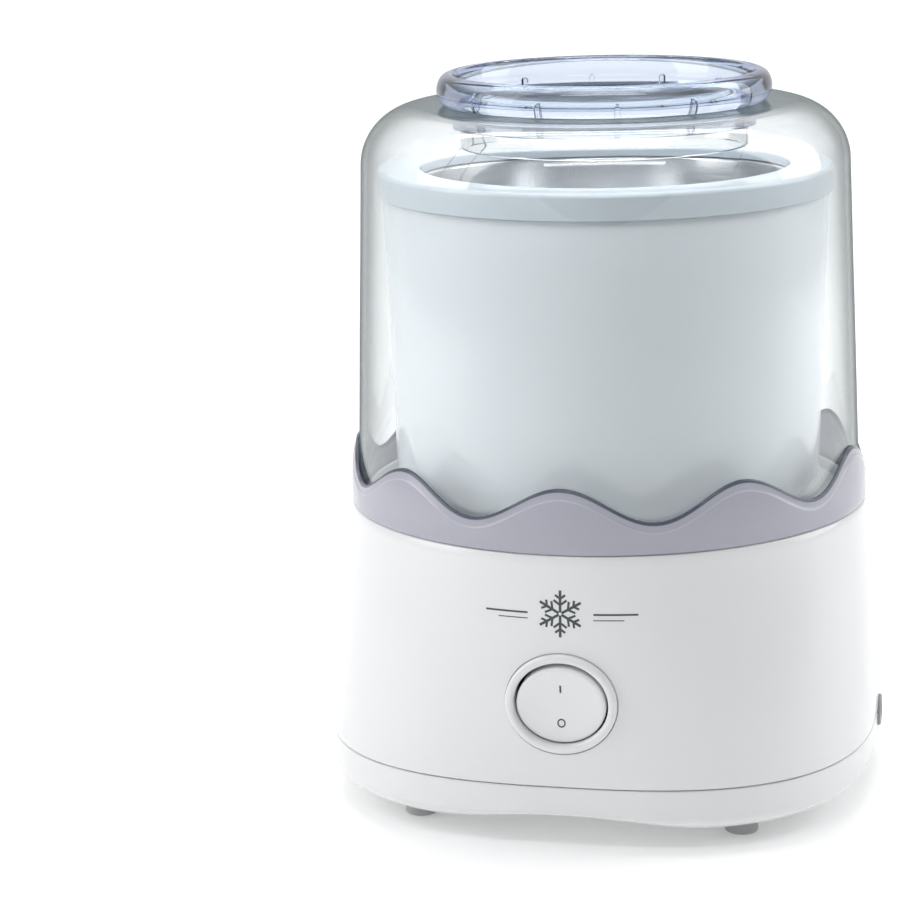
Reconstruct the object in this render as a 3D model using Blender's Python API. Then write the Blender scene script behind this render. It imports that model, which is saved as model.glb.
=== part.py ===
"""Ice cream maker whose double-walled freezer bowl turns under a clear lid.

A white base holds a small shaded-pole motor and a three-stage spur gear box. The gear box turns a
drive hub in the deck, the freezer bowl sits on that hub, and a fixed mixing arm hangs in the bowl.
The origin is the middle of the footprint, on the surface that the feet stand on. The front, with
the switch, faces -Y.
"""
import math

import bmesh
import bpy
from mathutils import Matrix, Vector

MM = 0.001
GAP = 0.3 * MM               # air between two pieces that touch
RUN = 0.3 * MM               # radial running clearance of a shaft, pin or screw in its hole
ROUND_SIDES = 36             # sides of a large turned piece
SMALL_SIDES = 8              # sides of a screw, pin or foot
OVAL_SIDES = 24              # sides of the switch's ovals

# Base housing: a circle at the deck that swells into a rounded square at the seam.
DECK_TOP = 116 * MM          # height of the deck that the bowl and the lid stand on
DECK_WALL = 2.4 * MM
DECK_RADIUS = 103.8 * MM     # outer radius of the housing at the deck
SEAM_HEIGHT = 25.8 * MM      # where the housing meets the bottom cover
BASE_HALF_WIDTH = 109.4 * MM
BASE_HALF_DEPTH = 106.8 * MM
BASE_SQUARENESS = 2.72       # exponent of the outline at the seam, 2 is a plain ellipse
HOUSING_WALL = 2.4 * MM
WALL_LOOPS = 4               # outlines that shape the housing's wall above the seam
DECK_EDGE_ROUND = 1.0 * MM
LID_RIB_RADIUS = 96.6 * MM   # inner face of the upstand that centres the lid
LID_RIB_WALL = 1.6 * MM
LID_RIB_HEIGHT = 4.5 * MM

# Bottom cover: a shallow tray with four push-in feet.
FOOT_HEIGHT = 5.6 * MM       # underside of the cover above the table
COVER_WALL = 2.2 * MM
COVER_SIDE = 10.6 * MM       # from the seam down to where the side wall starts to turn under
COVER_ARCH = 0.69            # rise of the underside in the middle of each side, of the turn's height
COVER_EDGE_INSET = 0.35 * MM
COVER_TURN_INSET = 2.9 * MM  # half-way down the turn
COVER_FLAT_INSET = 13.6 * MM # inset of the flat underside from the widest outline
COVER_TUCK = 20.7 * MM       # how much further in the flat starts in the middle of each side
FOOT_RADIUS = 6.5 * MM
FOOT_STEM_RADIUS = 2.4 * MM
FOOT_X = 63.6 * MM
FOOT_Y = 70.8 * MM
COVER_SCREW_X = 80 * MM
COVER_SCREW_Y = 50 * MM
SCREW_RADIUS = 1.5 * MM
SCREW_HEAD_RADIUS = 3.2 * MM
SCREW_HEAD_HEIGHT = 2.0 * MM
SCREW_GRIP = 14 * MM         # length of a cover screw above its head
POST_RADIUS = 4.2 * MM
VENT_LENGTH = 34 * MM
VENT_WIDTH = 3.2 * MM
VENT_PITCH = 7.5 * MM
VENT_COUNT = 7

# Wavy collar round the foot of the lid.
COLLAR_RADIUS = DECK_RADIUS
COLLAR_TIP_RADIUS = 101.9 * MM   # outer radius at the crest of a wave
COLLAR_INNER_RADIUS = 101.6 * MM
COLLAR_TIP_WALL = 1.1 * MM
COLLAR_BEND_HEIGHT = 9 * MM      # above the deck, where the wall starts to lean in
COLLAR_MID_HEIGHT = 18.8 * MM    # mean height of the wavy edge above the deck
WAVE_HEIGHT = 6.4 * MM           # half of crest to trough
WAVE_COUNT = 9
WAVE_SIDES = 6               # sides of the collar for each wave

# Lid: a clear cylinder with a rounded shoulder and a thick pouring ring.
LID_FOOT_RADIUS = 101.1 * MM
LID_TOP_RADIUS = 96.6 * MM       # where the shoulder starts
LID_SHOULDER_HEIGHT = 250.5 * MM
LID_SHOULDER_ROUND = 23.5 * MM
LID_WALL = 2.0 * MM
LID_HOLE_RADIUS = 59.5 * MM
RING_SEAM_RADIUS = 63.2 * MM
RING_RADIUS = 66.0 * MM
RING_HEIGHT = 12.2 * MM          # pouring ring above the flat of the lid
RING_SKIRT = 7 * MM              # fluted skirt below the flat of the lid
RING_SKIRT_RADIUS = 59.2 * MM
RING_WALL = 1.8 * MM
FLUTE_COUNT = 12
FLUTE_DEPTH = 2.6 * MM
FLUTE_WIDTH = 2.0 * MM

# Freezer bowl: plastic shell, coolant, aluminium liner and a rim ring.
BOWL_RADIUS = 88.3 * MM          # outside of the shell just under the rim
BOWL_FOOT_RADIUS = 85.0 * MM
BOWL_FOOT_ROUND = 8 * MM
BOWL_WALL = 2.0 * MM
BOWL_RIM_TOP = 249.8 * MM
BOWL_RIM_HEIGHT = 10.3 * MM
BOWL_RIM_RADIUS = 90.3 * MM
LINER_RADIUS = 73 * MM           # inside of the aluminium liner
LINER_WALL = 1.0 * MM
LINER_FLOOR = 137 * MM           # height of the liner's floor inside the bowl
LINER_ROUND = 10 * MM            # radius between the liner's wall and its floor
SEAL_HEIGHT = 1.8 * MM
PLUG_RADIUS = 5 * MM
PLUG_OFFSET = 60 * MM            # fill plug from the axis

# Drive: hub in the deck, dogs that fit the socket under the bowl.
HUB_RADIUS = 32 * MM
HUB_FLANGE = 2.6 * MM
HUB_CLEARANCE = 1.0 * MM         # hub flange above the deck
DOG_RADIUS = 13 * MM
DOG_HEIGHT = 8 * MM
DOG_DEPTH = 2.6 * MM             # how far each dog stands out of the boss
DOG_COUNT = 6
DOG_PLAY = 0.5 * MM              # between the dogs and the socket
SOCKET_WALL = 2.2 * MM
SHAFT_RADIUS = 5 * MM
BUSH_WALL = 2.4 * MM

# Gear box: tooth counts and modules of the three stages, from the motor to the hub.
MODULES = (0.6 * MM, 0.9 * MM, 1.1 * MM)
WHEEL_TEETH = (50, 46, 50)
PINION_TEETH = (10, 10, 10)
STAGE_ANGLES = (150, 135, 45)    # from each wheel's axis to its pinion's, degrees, stages 1 to 3
PRESSURE_ANGLE = math.radians(25)
BACKLASH = 0.12              # of a module, taken off each tooth
ADDENDUM = 0.9               # of a module
DEDENDUM = 1.3
WHEEL_FACE = 5 * MM          # face width of the first two wheels
OUTPUT_FACE = 8 * MM
TIER_GAP = 2 * MM            # between one tier of gears and the next
AXLE_RADIUS = 1.5 * MM
GEAR_HUB_RADIUS = 3.6 * MM
CASE_TOP = 105.4 * MM
CASE_WALL = 2.4 * MM
CASE_PLATE = 2.4 * MM
CASE_MARGIN = 5 * MM         # from the gears to the case's side walls
CASE_BOSS_RADIUS = 4.2 * MM

# Motor: laminated frame with the rotor at one end and the coil on the other leg.
STACK_HEIGHT = 20 * MM
STACK_BOTTOM = 40 * MM
FRAME_HALF_WIDTH = 24 * MM
FRAME_HEAD = 22 * MM         # frame behind the rotor's axis
FRAME_TAIL = 62 * MM         # frame in front of the rotor's axis
FRAME_LEG = 12 * MM          # width of the leg that carries the coil
WINDOW_START = 20 * MM       # from the rotor's axis to the window
WINDOW_HALF_WIDTH = 13 * MM
COIL_BUILD = 8.7 * MM        # thickness of the winding round its leg
ROTOR_RADIUS = 12.8 * MM
AIR_GAP = 0.6 * MM
MOTOR_SHAFT_RADIUS = 1.5 * MM
BRACKET_WALL = 2.0 * MM
BRACKET_GAP = 3.5 * MM       # from the stack to each bracket
BRACKET_HALF_WIDTH = 8 * MM
BEARING_RADIUS = 4.5 * MM
BEARING_HEIGHT = 5 * MM
MOTOR_SCREW_OFFSET = 19.5 * MM   # each motor screw from the rotor's axis, along X
FAN_RADIUS = 21 * MM
FAN_HEIGHT = 7 * MM
FAN_BLADES = 7
FAN_BLADE_WALL = 1.6 * MM

# Rocker switch in the front wall.
SWITCH_HEIGHT = 59 * MM
ROCKER_HALF_WIDTH = 17.2 * MM
ROCKER_HALF_HEIGHT = 15.2 * MM
ROCKER_SWING = 12            # degrees from off to on
ROCKER_DEPTH = 8 * MM
ROCKER_PIVOT = 6 * MM        # pivot behind the rocker's face
ROCKER_PLAY = 0.9 * MM       # gap all round between rocker and bezel
BEZEL_WALL = 3.4 * MM
BEZEL_PROUD = 1.6 * MM       # bezel in front of the housing
BEZEL_DEPTH = 13 * MM
SWITCH_BODY_DEPTH = 12 * MM
SWITCH_BODY_WALL = 1.6 * MM
PIN_RADIUS = 1.2 * MM
TERMINAL_SIZE = (6.3 * MM, 8 * MM, 0.8 * MM)
TERMINAL_SPACING = 12 * MM

# Inlet bushing, low in the right wall, just above the seam and a little behind the middle.
INLET_HEIGHT = SEAM_HEIGHT - 0.8 * MM    # the bushing sits across the seam
INLET_Y = 10 * MM
INLET_RADIUS = 6.4 * MM
INLET_HOLE_RADIUS = 3.2 * MM
INLET_LIP = 1.4 * MM
INLET_PROUD = 1.0 * MM

# Mixing arm: a ring that the lid's flutes hold, two legs and a foot bar.
ARM_RING_RADIUS = 56.5 * MM
ARM_RING_WALL = 2.4 * MM
ARM_RING_HEIGHT = 9 * MM
ARM_WALL = 3 * MM
ARM_BLADE = 13 * MM          # width of the blade that scrapes the wall
ARM_INNER_LEG = 24 * MM      # inner leg from the axis
ARM_PLAY = 1.5 * MM          # blade and bar from the liner
ARM_BAR_HEIGHT = 12 * MM

# Derived sizes that more than one piece uses.
RIM_BOTTOM = BOWL_RIM_TOP - BOWL_RIM_HEIGHT
HUB_BOTTOM = DECK_TOP + HUB_CLEARANCE
HUB_TOP = HUB_BOTTOM + HUB_FLANGE
BOWL_BOTTOM = HUB_TOP + GAP
SOCKET_TOP = HUB_TOP + DOG_HEIGHT + DOG_PLAY
SOCKET_RADIUS = DOG_RADIUS + DOG_DEPTH + DOG_PLAY + SOCKET_WALL
LID_FLAT = LID_SHOULDER_HEIGHT + LID_SHOULDER_ROUND
LID_BOTTOM = DECK_TOP + GAP
OUTLINE_SIDES = 36


# ---------------------------------------------------------------- scene, materials and objects
def clear_scene():
    for thing in list(bpy.data.objects):
        bpy.data.objects.remove(thing, do_unlink=True)


def finish(name, colour, roughness, metallic=0.0, alpha=1.0):
    """A plain Principled material."""
    material = bpy.data.materials.new(name)
    material.use_nodes = True
    shader = material.node_tree.nodes["Principled BSDF"]
    shader.inputs["Base Color"].default_value = (*colour, 1.0)
    shader.inputs["Roughness"].default_value = roughness
    shader.inputs["Metallic"].default_value = metallic
    shader.inputs["Alpha"].default_value = alpha
    material.diffuse_color = (*colour, alpha)
    return material


def add_object(name, mesh_data, material, at=(0, 0, 0), parent=None):
    """Turn a bmesh into a named object whose origin is the point `at`."""
    bmesh.ops.recalc_face_normals(mesh_data, faces=mesh_data.faces)
    mesh = bpy.data.meshes.new(name)
    mesh_data.to_mesh(mesh)
    mesh_data.free()
    mesh.shade_smooth()
    mesh.set_sharp_from_angle(angle=math.radians(35))
    if material:
        mesh.materials.append(material)
    thing = bpy.data.objects.new(name, mesh)
    bpy.context.collection.objects.link(thing)
    thing.location = at
    if parent:
        thing.parent = parent
        thing.matrix_parent_inverse = Matrix.Translation(-Vector(parent.location))
    return thing


def axis_empty(name, at, parent=None):
    """An empty that marks a joint's axis."""
    empty = bpy.data.objects.new(name, None)
    bpy.context.collection.objects.link(empty)
    empty.location = at
    if parent:
        empty.parent = parent
        empty.matrix_parent_inverse = Matrix.Translation(-Vector(parent.location))
    return empty


def combine(target, tools, operation):
    """Boolean each tool into the target and keep the tools out of the build."""
    for tool in tools:
        tool.hide_render = True
        tool.display_type = "WIRE"
        step = target.modifiers.new(operation.lower(), "BOOLEAN")
        step.operation = operation
        step.solver = "EXACT"
        step.object = tool


def cut(target, *tools):
    combine(target, tools, "DIFFERENCE")


def unite(target, *tools):
    combine(target, tools, "UNION")


# ---------------------------------------------------------------- outlines and solids
def circle(radius, sides, centre=(0.0, 0.0), start=0.0):
    steps = [start + math.tau * i / sides for i in range(sides)]
    return [(centre[0] + radius * math.cos(a), centre[1] + radius * math.sin(a)) for a in steps]


def oval(half_width, half_height, sides):
    steps = [math.tau * i / sides for i in range(sides)]
    return [(half_width * math.cos(a), half_height * math.sin(a)) for a in steps]


def rectangle(x0, y0, x1, y1):
    return [(x0, y0), (x1, y0), (x1, y1), (x0, y1)]


def rounded_rectangle(x0, y0, x1, y1, radius, steps=4):
    corners = ((x1, y1, 0), (x0, y1, 90), (x0, y0, 180), (x1, y0, 270))
    points = []
    for x, y, turn in corners:
        cx = x - math.copysign(radius, x - (x0 + x1) / 2)
        cy = y - math.copysign(radius, y - (y0 + y1) / 2)
        for i in range(steps + 1):
            a = math.radians(turn + 90 * i / steps)
            points.append((cx + radius * math.cos(a), cy + radius * math.sin(a)))
    return points


def superellipse(half_width, half_depth, squareness, sides=OUTLINE_SIDES):
    points = []
    for i in range(sides):
        a = math.tau * i / sides
        c, s = math.cos(a), math.sin(a)
        reach = abs(c / half_width) ** squareness + abs(s / half_depth) ** squareness
        r = reach ** (-1 / squareness)
        points.append((r * c, r * s))
    return points


def skin(loops, closed):
    """Join loops of equal length with faces; a loop of one point is a pole."""
    bm = bmesh.new()
    rows = [[bm.verts.new(point) for point in loop] for loop in loops]
    pairs = list(zip(rows, rows[1:]))
    if closed:
        pairs.append((rows[-1], rows[0]))
    for low, high in pairs:
        count = max(len(low), len(high))
        for i in range(count):
            j = (i + 1) % count
            corners = [low[i % len(low)], low[j % len(low)], high[j % len(high)], high[i % len(high)]]
            face = list(dict.fromkeys(corners))
            bm.faces.new(face)
    return bm


def turned(profile, sides=ROUND_SIDES, start=0.0):
    """A lathe body from (radius, height) points; points on the axis close it as poles."""
    loops = []
    for radius, height in profile:
        if radius == 0:
            loops.append([(0, 0, height)])
        else:
            loops.append([(x, y, height) for x, y in circle(radius, sides, start=start)])
    closed = profile[0][0] != 0
    return skin(loops, closed)


def slab(outlines, low, high):
    """An extruded plate: the first outline is its edge, the others are holes."""
    bm = bmesh.new()
    for z in (low, high):
        edges = []
        for outline in outlines:
            ring = [bm.verts.new((x, y, z)) for x, y in outline]
            edges += [bm.edges.new((ring[i - 1], ring[i])) for i in range(len(ring))]
        bmesh.ops.triangle_fill(bm, edges=edges, use_beauty=True)
    bm.verts.ensure_lookup_table()
    total = sum(len(outline) for outline in outlines)
    start = 0
    for outline in outlines:
        count = len(outline)
        for i in range(count):
            a, b = start + i, start + (i + 1) % count
            bm.faces.new([bm.verts[k] for k in (a, b, b + total, a + total)])
        start += count
    return bm


def arc(centre, radius, first, last, steps):
    """Points of an arc in (radius, height) space, angles in degrees."""
    points = []
    for i in range(steps + 1):
        a = math.radians(first + (last - first) * i / steps)
        points.append((centre[0] + radius * math.cos(a), centre[1] + radius * math.sin(a)))
    return points


def turn_to_front(bm, y):
    """Stand a body that was drawn flat up on end, so that its +Z faces -Y at depth y."""
    bmesh.ops.rotate(bm, verts=bm.verts, cent=(0, 0, 0), matrix=Matrix.Rotation(math.pi / 2, 3, "X"))
    bmesh.ops.translate(bm, verts=bm.verts, vec=(0, y, 0))
    return bm


# ---------------------------------------------------------------- base
def base_outline(z, inset=0.0, sides=OUTLINE_SIDES):
    """The housing's outline at height z, drawn in by `inset`."""
    drop = min(1.0, max(0.0, (DECK_TOP - z) / (DECK_TOP - SEAM_HEIGHT)))
    swell = math.sin(drop * math.pi / 2)
    half_width = DECK_RADIUS + (BASE_HALF_WIDTH - DECK_RADIUS) * swell
    half_depth = DECK_RADIUS + (BASE_HALF_DEPTH - DECK_RADIUS) * swell
    squareness = 2 + (BASE_SQUARENESS - 2) * drop ** 1.5
    return superellipse(half_width - inset, half_depth - inset, squareness, sides)


def front_of_base(z, inset=0.0):
    """Y of the housing's front wall at height z."""
    return min(y for _, y in base_outline(z, inset))


def seam_loop(inset, lift=0.0):
    """The seam between housing and cover."""
    return [(x, y, SEAM_HEIGHT + lift) for x, y in base_outline(SEAM_HEIGHT, inset)]


def cover_loop(height, inset, arch, tuck):
    """One loop of the bottom cover, raised and drawn in towards the middle of each side."""
    loop = []
    for x, y in base_outline(SEAM_HEIGHT, inset):
        middle = ((1 + math.cos(4 * math.atan2(y, x))) / 2) ** 2
        kept = 1 - tuck * middle / math.hypot(x, y)
        loop.append((x * kept, y * kept, height + arch * middle))
    return loop


def corner_points(x, y):
    return [(x, y), (-x, y), (-x, -y), (x, -y)]


def make_base_housing(white, gear_case):
    inner_top = DECK_TOP - DECK_WALL
    rise = (inner_top - SEAM_HEIGHT) / WALL_LOOPS
    wall_heights = [SEAM_HEIGHT + rise * (i + 1) for i in range(WALL_LOOPS)]
    outside = [seam_loop(0, GAP)] + [[(x, y, z) for x, y in base_outline(z)] for z in wall_heights]
    inside = [[(x, y, z) for x, y in base_outline(z, HOUSING_WALL)] for z in wall_heights]
    inside.insert(0, seam_loop(HOUSING_WALL, GAP))
    bush_hole = SHAFT_RADIUS + RUN + BUSH_WALL + GAP
    bush_boss = bush_hole + 3 * MM
    bush_bottom = CASE_TOP + GAP
    rib_outside = LID_RIB_RADIUS + LID_RIB_WALL
    deck = [
        (DECK_RADIUS, DECK_TOP - DECK_EDGE_ROUND),
        (DECK_RADIUS - DECK_EDGE_ROUND, DECK_TOP),
        (rib_outside, DECK_TOP),
        (rib_outside, DECK_TOP + LID_RIB_HEIGHT),
        (LID_RIB_RADIUS, DECK_TOP + LID_RIB_HEIGHT),
        (LID_RIB_RADIUS, DECK_TOP),
        (bush_hole, DECK_TOP),
        (bush_hole, bush_bottom),
        (bush_boss, bush_bottom),
        (bush_boss, inner_top),
    ]
    top = [[(x, y, z) for x, y in circle(r, OUTLINE_SIDES)] for r, z in deck]
    housing = add_object("base_housing", skin(outside + top + inside[::-1], True), white)

    posts = []
    holes = []
    post_foot = FOOT_HEIGHT + COVER_WALL + GAP
    for x, y in corner_points(COVER_SCREW_X, COVER_SCREW_Y):
        post = slab([circle(POST_RADIUS, SMALL_SIDES, (x, y))], post_foot, DECK_TOP - 1 * MM)
        posts.append(add_object("housing_post_tool", post, None))
        hole_top = post_foot + SCREW_GRIP + 1 * MM
        hole = slab([circle(SCREW_RADIUS + RUN, SMALL_SIDES, (x, y))], 0, hole_top)
        holes.append(add_object("post_hole_tool", hole, None))
    for x, y in gear_case.screw_points:
        boss = slab([circle(POST_RADIUS, SMALL_SIDES, (x, y))], CASE_TOP + GAP, DECK_TOP - 1 * MM)
        posts.append(add_object("deck_boss_tool", boss, None))
        hole = slab([circle(SCREW_RADIUS + RUN, SMALL_SIDES, (x, y))], 0, inner_top - 1 * MM)
        holes.append(add_object("boss_hole_tool", hole, None))
    unite(housing, *posts)

    half_width, half_height = bezel_outside(GAP)
    opening = slab([oval(half_width, half_height, OVAL_SIDES)], -30 * MM, 30 * MM)
    bmesh.ops.translate(opening, verts=opening.verts, vec=(0, SWITCH_HEIGHT, 0))
    opening_tool = add_object("switch_hole_tool", turn_to_front(opening, front_of_base(SWITCH_HEIGHT)), None)
    cut(housing, *holes, opening_tool, inlet_hole_tool())
    return housing


def make_bottom_cover(white):
    turn = SEAM_HEIGHT - COVER_SIDE - FOOT_HEIGHT
    shape = (
        (FOOT_HEIGHT + turn, COVER_EDGE_INSET, 0.06 * turn, 0.0),
        (FOOT_HEIGHT + turn / 2, COVER_TURN_INSET, 0.54 * COVER_ARCH * turn, 0.0),
        (FOOT_HEIGHT, COVER_FLAT_INSET, COVER_ARCH * turn, 0.0),
        (FOOT_HEIGHT, COVER_FLAT_INSET + 2 * MM, 0.0, COVER_TUCK),
    )
    outside = [seam_loop(0)] + [cover_loop(*row) for row in shape]
    floor = FOOT_HEIGHT + COVER_WALL
    inside = [seam_loop(COVER_WALL)]
    for z, inset, arch, tuck in shape:
        lifted = z + COVER_WALL * (1 - (z - FOOT_HEIGHT) / SEAM_HEIGHT)
        inside.append(cover_loop(lifted, inset + COVER_WALL, arch, tuck))
    loops = [[(0, 0, FOOT_HEIGHT)]] + outside[::-1] + inside + [[(0, 0, floor)]]
    cover = add_object("bottom_cover", skin(loops, False), white)

    tools = []
    for x, y in corner_points(FOOT_X, FOOT_Y):
        hole = slab([circle(FOOT_STEM_RADIUS + RUN, SMALL_SIDES, (x, y))], 0, 2 * floor)
        tools.append(add_object("foot_hole_tool", hole, None))
    for x, y in corner_points(COVER_SCREW_X, COVER_SCREW_Y):
        head = SCREW_HEAD_RADIUS + RUN
        through = SCREW_RADIUS + RUN
        profile = [(0, 0), (head, 0), (head, FOOT_HEIGHT + 0.4 * MM), (through, FOOT_HEIGHT + 2.0 * MM),
                   (through, 2 * floor), (0, 2 * floor)]
        hole = turned(profile, SMALL_SIDES)
        bmesh.ops.translate(hole, verts=hole.verts, vec=(x, y, 0))
        tools.append(add_object("cover_screw_hole_tool", hole, None))
    for i in range(VENT_COUNT):
        x = (i - (VENT_COUNT - 1) / 2) * VENT_PITCH
        slot = rectangle(x - VENT_WIDTH / 2, -VENT_LENGTH / 2, x + VENT_WIDTH / 2, VENT_LENGTH / 2)
        tools.append(add_object("vent_tool", slab([slot], 0, 2 * floor), None))
    cut(cover, *tools, inlet_hole_tool())
    return cover


def make_feet(rubber):
    """Push-in rubber feet: a pad, a stem through the cover and a barb that holds it."""
    pad_top = FOOT_HEIGHT - GAP
    stem_top = FOOT_HEIGHT + COVER_WALL + GAP
    profile = [
        (0, 0), (FOOT_RADIUS - 1 * MM, 0), (FOOT_RADIUS, 1 * MM), (FOOT_RADIUS - 0.4 * MM, pad_top),
        (FOOT_STEM_RADIUS, pad_top), (FOOT_STEM_RADIUS, stem_top), (FOOT_STEM_RADIUS + 0.9 * MM, stem_top),
        (FOOT_STEM_RADIUS - 0.8 * MM, stem_top + 2.4 * MM), (0, stem_top + 2.4 * MM),
    ]
    names = ("foot_rear_right", "foot_rear_left", "foot_front_left", "foot_front_right")
    for name, (x, y) in zip(names, corner_points(FOOT_X, FOOT_Y)):
        add_object(name, turned(profile, SMALL_SIDES + 4), rubber, (x, y, 0))


def screw_profile(head_radius, head_height, length):
    """A countersunk screw: flat head at the bottom, shank upwards, with a blunt point."""
    return [(0, 0), (head_radius, 0), (SCREW_RADIUS, head_height), (SCREW_RADIUS, head_height + length),
            (SCREW_RADIUS * 0.5, head_height + length + 0.8 * MM), (0, head_height + length + 0.8 * MM)]


def pan_screw_profile(head_radius, head_height, length):
    """A pan-head screw: head below, shank upwards."""
    return [(0, 0), (head_radius, 0), (head_radius, head_height), (SCREW_RADIUS, head_height),
            (SCREW_RADIUS, head_height + length), (0, head_height + length)]


def make_cover_screws(steel):
    for i, (x, y) in enumerate(corner_points(COVER_SCREW_X, COVER_SCREW_Y)):
        profile = screw_profile(SCREW_HEAD_RADIUS, SCREW_HEAD_HEIGHT, SCREW_GRIP - SCREW_HEAD_HEIGHT)
        body = turned(profile, SMALL_SIDES)
        add_object(f"cover_screw_{i + 1}", body, steel, (x, y, FOOT_HEIGHT + 0.2 * MM))


def collar_edge(angle):
    """Height of the collar's wavy edge; a crest stands at the front."""
    return DECK_TOP + COLLAR_MID_HEIGHT + WAVE_HEIGHT * math.cos(WAVE_COUNT * (angle + math.pi / 2))


def make_collar(tinted):
    sides = WAVE_COUNT * WAVE_SIDES
    bend = DECK_TOP + COLLAR_BEND_HEIGHT
    crest = DECK_TOP + COLLAR_MID_HEIGHT + WAVE_HEIGHT
    loops = [[], [], [], [], []]
    for i in range(sides):
        a = -math.pi / 2 + math.tau * i / sides
        edge = collar_edge(a)
        lean = max(0.0, (edge - bend) / (crest - bend))
        outer = COLLAR_RADIUS - (COLLAR_RADIUS - COLLAR_TIP_RADIUS) * lean ** 1.5
        inner_lean = COLLAR_INNER_RADIUS - (COLLAR_INNER_RADIUS - COLLAR_TIP_RADIUS + COLLAR_TIP_WALL) * lean
        column = ((COLLAR_INNER_RADIUS, DECK_TOP + GAP), (COLLAR_RADIUS, DECK_TOP + GAP),
                  (COLLAR_RADIUS, min(bend, edge)), (outer, edge), (inner_lean, edge))
        for loop, (r, z) in zip(loops, column):
            loop.append((r * math.cos(a), r * math.sin(a), z))
    return add_object("collar_ring", skin(loops, True), tinted)


# ---------------------------------------------------------------- switch
def bezel_outside(extra=0.0):
    half_width = ROCKER_HALF_WIDTH + ROCKER_PLAY + BEZEL_WALL + extra
    half_height = ROCKER_HALF_HEIGHT + ROCKER_PLAY + BEZEL_WALL + extra
    return half_width, half_height


def switch_axis():
    """Centre of the rocker's pivot."""
    return Vector((0, front_of_base(SWITCH_HEIGHT) - BEZEL_PROUD * 0.2 + ROCKER_PIVOT, SWITCH_HEIGHT))


def make_switch(white, dark, steel, brass):
    axis = switch_axis()
    front = front_of_base(SWITCH_HEIGHT) - BEZEL_PROUD
    half_width, half_height = bezel_outside()
    hole = oval(half_width - BEZEL_WALL, half_height - BEZEL_WALL, OVAL_SIDES)
    lip = oval(half_width - 1.2 * MM, half_height - 1.2 * MM, OVAL_SIDES)
    rim = oval(half_width, half_height, OVAL_SIDES)
    mouth_wall = BEZEL_WALL - 0.8 * MM
    mouth = oval(half_width - mouth_wall, half_height - mouth_wall, OVAL_SIDES)
    depths = ((hole, -BEZEL_DEPTH), (hole, -0.8 * MM), (mouth, 0), (lip, 0), (rim, -1.2 * MM), (rim, -BEZEL_DEPTH))
    loops = [[(x, y, z) for x, y in outline] for outline, z in depths]
    bezel = turn_to_front(skin(loops, True), front)
    add_object("switch_bezel", bezel, white, (0, 0, SWITCH_HEIGHT))

    # The rocker: an oval cap with a shallow dish, and a boss that its pin runs through.
    rocker_frame = axis_empty("rocker_axis", axis)
    face = ROCKER_PIVOT
    cap = [
        (1.0, face - ROCKER_DEPTH), (1.0, face - 1.0 * MM), (0.95, face), (0.6, face - 0.5 * MM),
        (0.3, face - 0.7 * MM),
    ]
    loops = [[(0, 0, face - ROCKER_DEPTH)]]
    for s, z in cap:
        loops.append([(x, y, z) for x, y in oval(ROCKER_HALF_WIDTH * s, ROCKER_HALF_HEIGHT * s, OVAL_SIDES)])
    loops.append([(0, 0, face - 0.8 * MM)])
    cap_body = turn_to_front(skin(loops, False), 0)
    tilt = Matrix.Rotation(math.radians(ROCKER_SWING / 2), 3, "X")
    bmesh.ops.rotate(cap_body, verts=cap_body.verts, cent=(0, 0, 0), matrix=tilt)
    rocker = add_object("switch_rocker", cap_body, white, axis, rocker_frame)
    pin_span = ROCKER_HALF_WIDTH + ROCKER_PLAY - 0.4 * MM
    bore_radius = PIN_RADIUS + RUN
    bore = turned([(0, -30 * MM), (bore_radius, -30 * MM), (bore_radius, 30 * MM), (0, 30 * MM)], SMALL_SIDES)
    bmesh.ops.rotate(bore, verts=bore.verts, cent=(0, 0, 0), matrix=Matrix.Rotation(math.pi / 2, 3, "Y"))
    cut(rocker, add_object("rocker_bore_tool", bore, None, axis))
    pin_profile = [(0, -pin_span), (PIN_RADIUS, -pin_span), (PIN_RADIUS, pin_span), (0, pin_span)]
    pin = turned(pin_profile, SMALL_SIDES)
    bmesh.ops.rotate(pin, verts=pin.verts, cent=(0, 0, 0), matrix=Matrix.Rotation(math.pi / 2, 3, "Y"))
    add_object("rocker_pin", pin, steel, axis)

    # The switch body closes the back of the bezel and carries two blade terminals.
    back = front + BEZEL_DEPTH + GAP
    body_half = (half_width, half_height)
    box = slab([oval(*body_half, OVAL_SIDES)], -SWITCH_BODY_DEPTH, 0)
    body = add_object("switch_body", turn_to_front(box, back), dark, (0, 0, SWITCH_HEIGHT))
    hollow_half = [h - BEZEL_WALL for h in body_half]
    pocket = slab([oval(*hollow_half, OVAL_SIDES)], -SWITCH_BODY_DEPTH + SWITCH_BODY_WALL, 1 * MM)
    pocket_tool = add_object("switch_pocket_tool", turn_to_front(pocket, back), None, (0, 0, SWITCH_HEIGHT))
    cut(body, pocket_tool)
    width, length, thick = TERMINAL_SIZE
    for i, side in enumerate((-1, 1)):
        blade = slab([rectangle(-width / 2, 0, width / 2, length)], -thick / 2, thick / 2)
        y = back + SWITCH_BODY_DEPTH + GAP
        name = f"switch_terminal_{i + 1}"
        add_object(name, blade, brass, (side * TERMINAL_SPACING / 2, y, SWITCH_HEIGHT))


def inlet_frame():
    """Frame of the inlet: origin on the right wall, local Z along the wall's outward normal."""
    outline = base_outline(INLET_HEIGHT, 0.0, 720)
    right = [p for p in outline if p[0] > 0]
    here = min(right, key=lambda p: abs(p[1] - INLET_Y))
    near = min(right, key=lambda p: abs(p[1] - INLET_Y - 4 * MM))
    along = Vector((near[0] - here[0], near[1] - here[1], 0)).normalized()
    outward = Vector((along.y, -along.x, 0))
    turn = outward.to_track_quat("Z", "Y").to_matrix().to_4x4()
    return Matrix.Translation((here[0], here[1], INLET_HEIGHT)) @ turn


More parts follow.
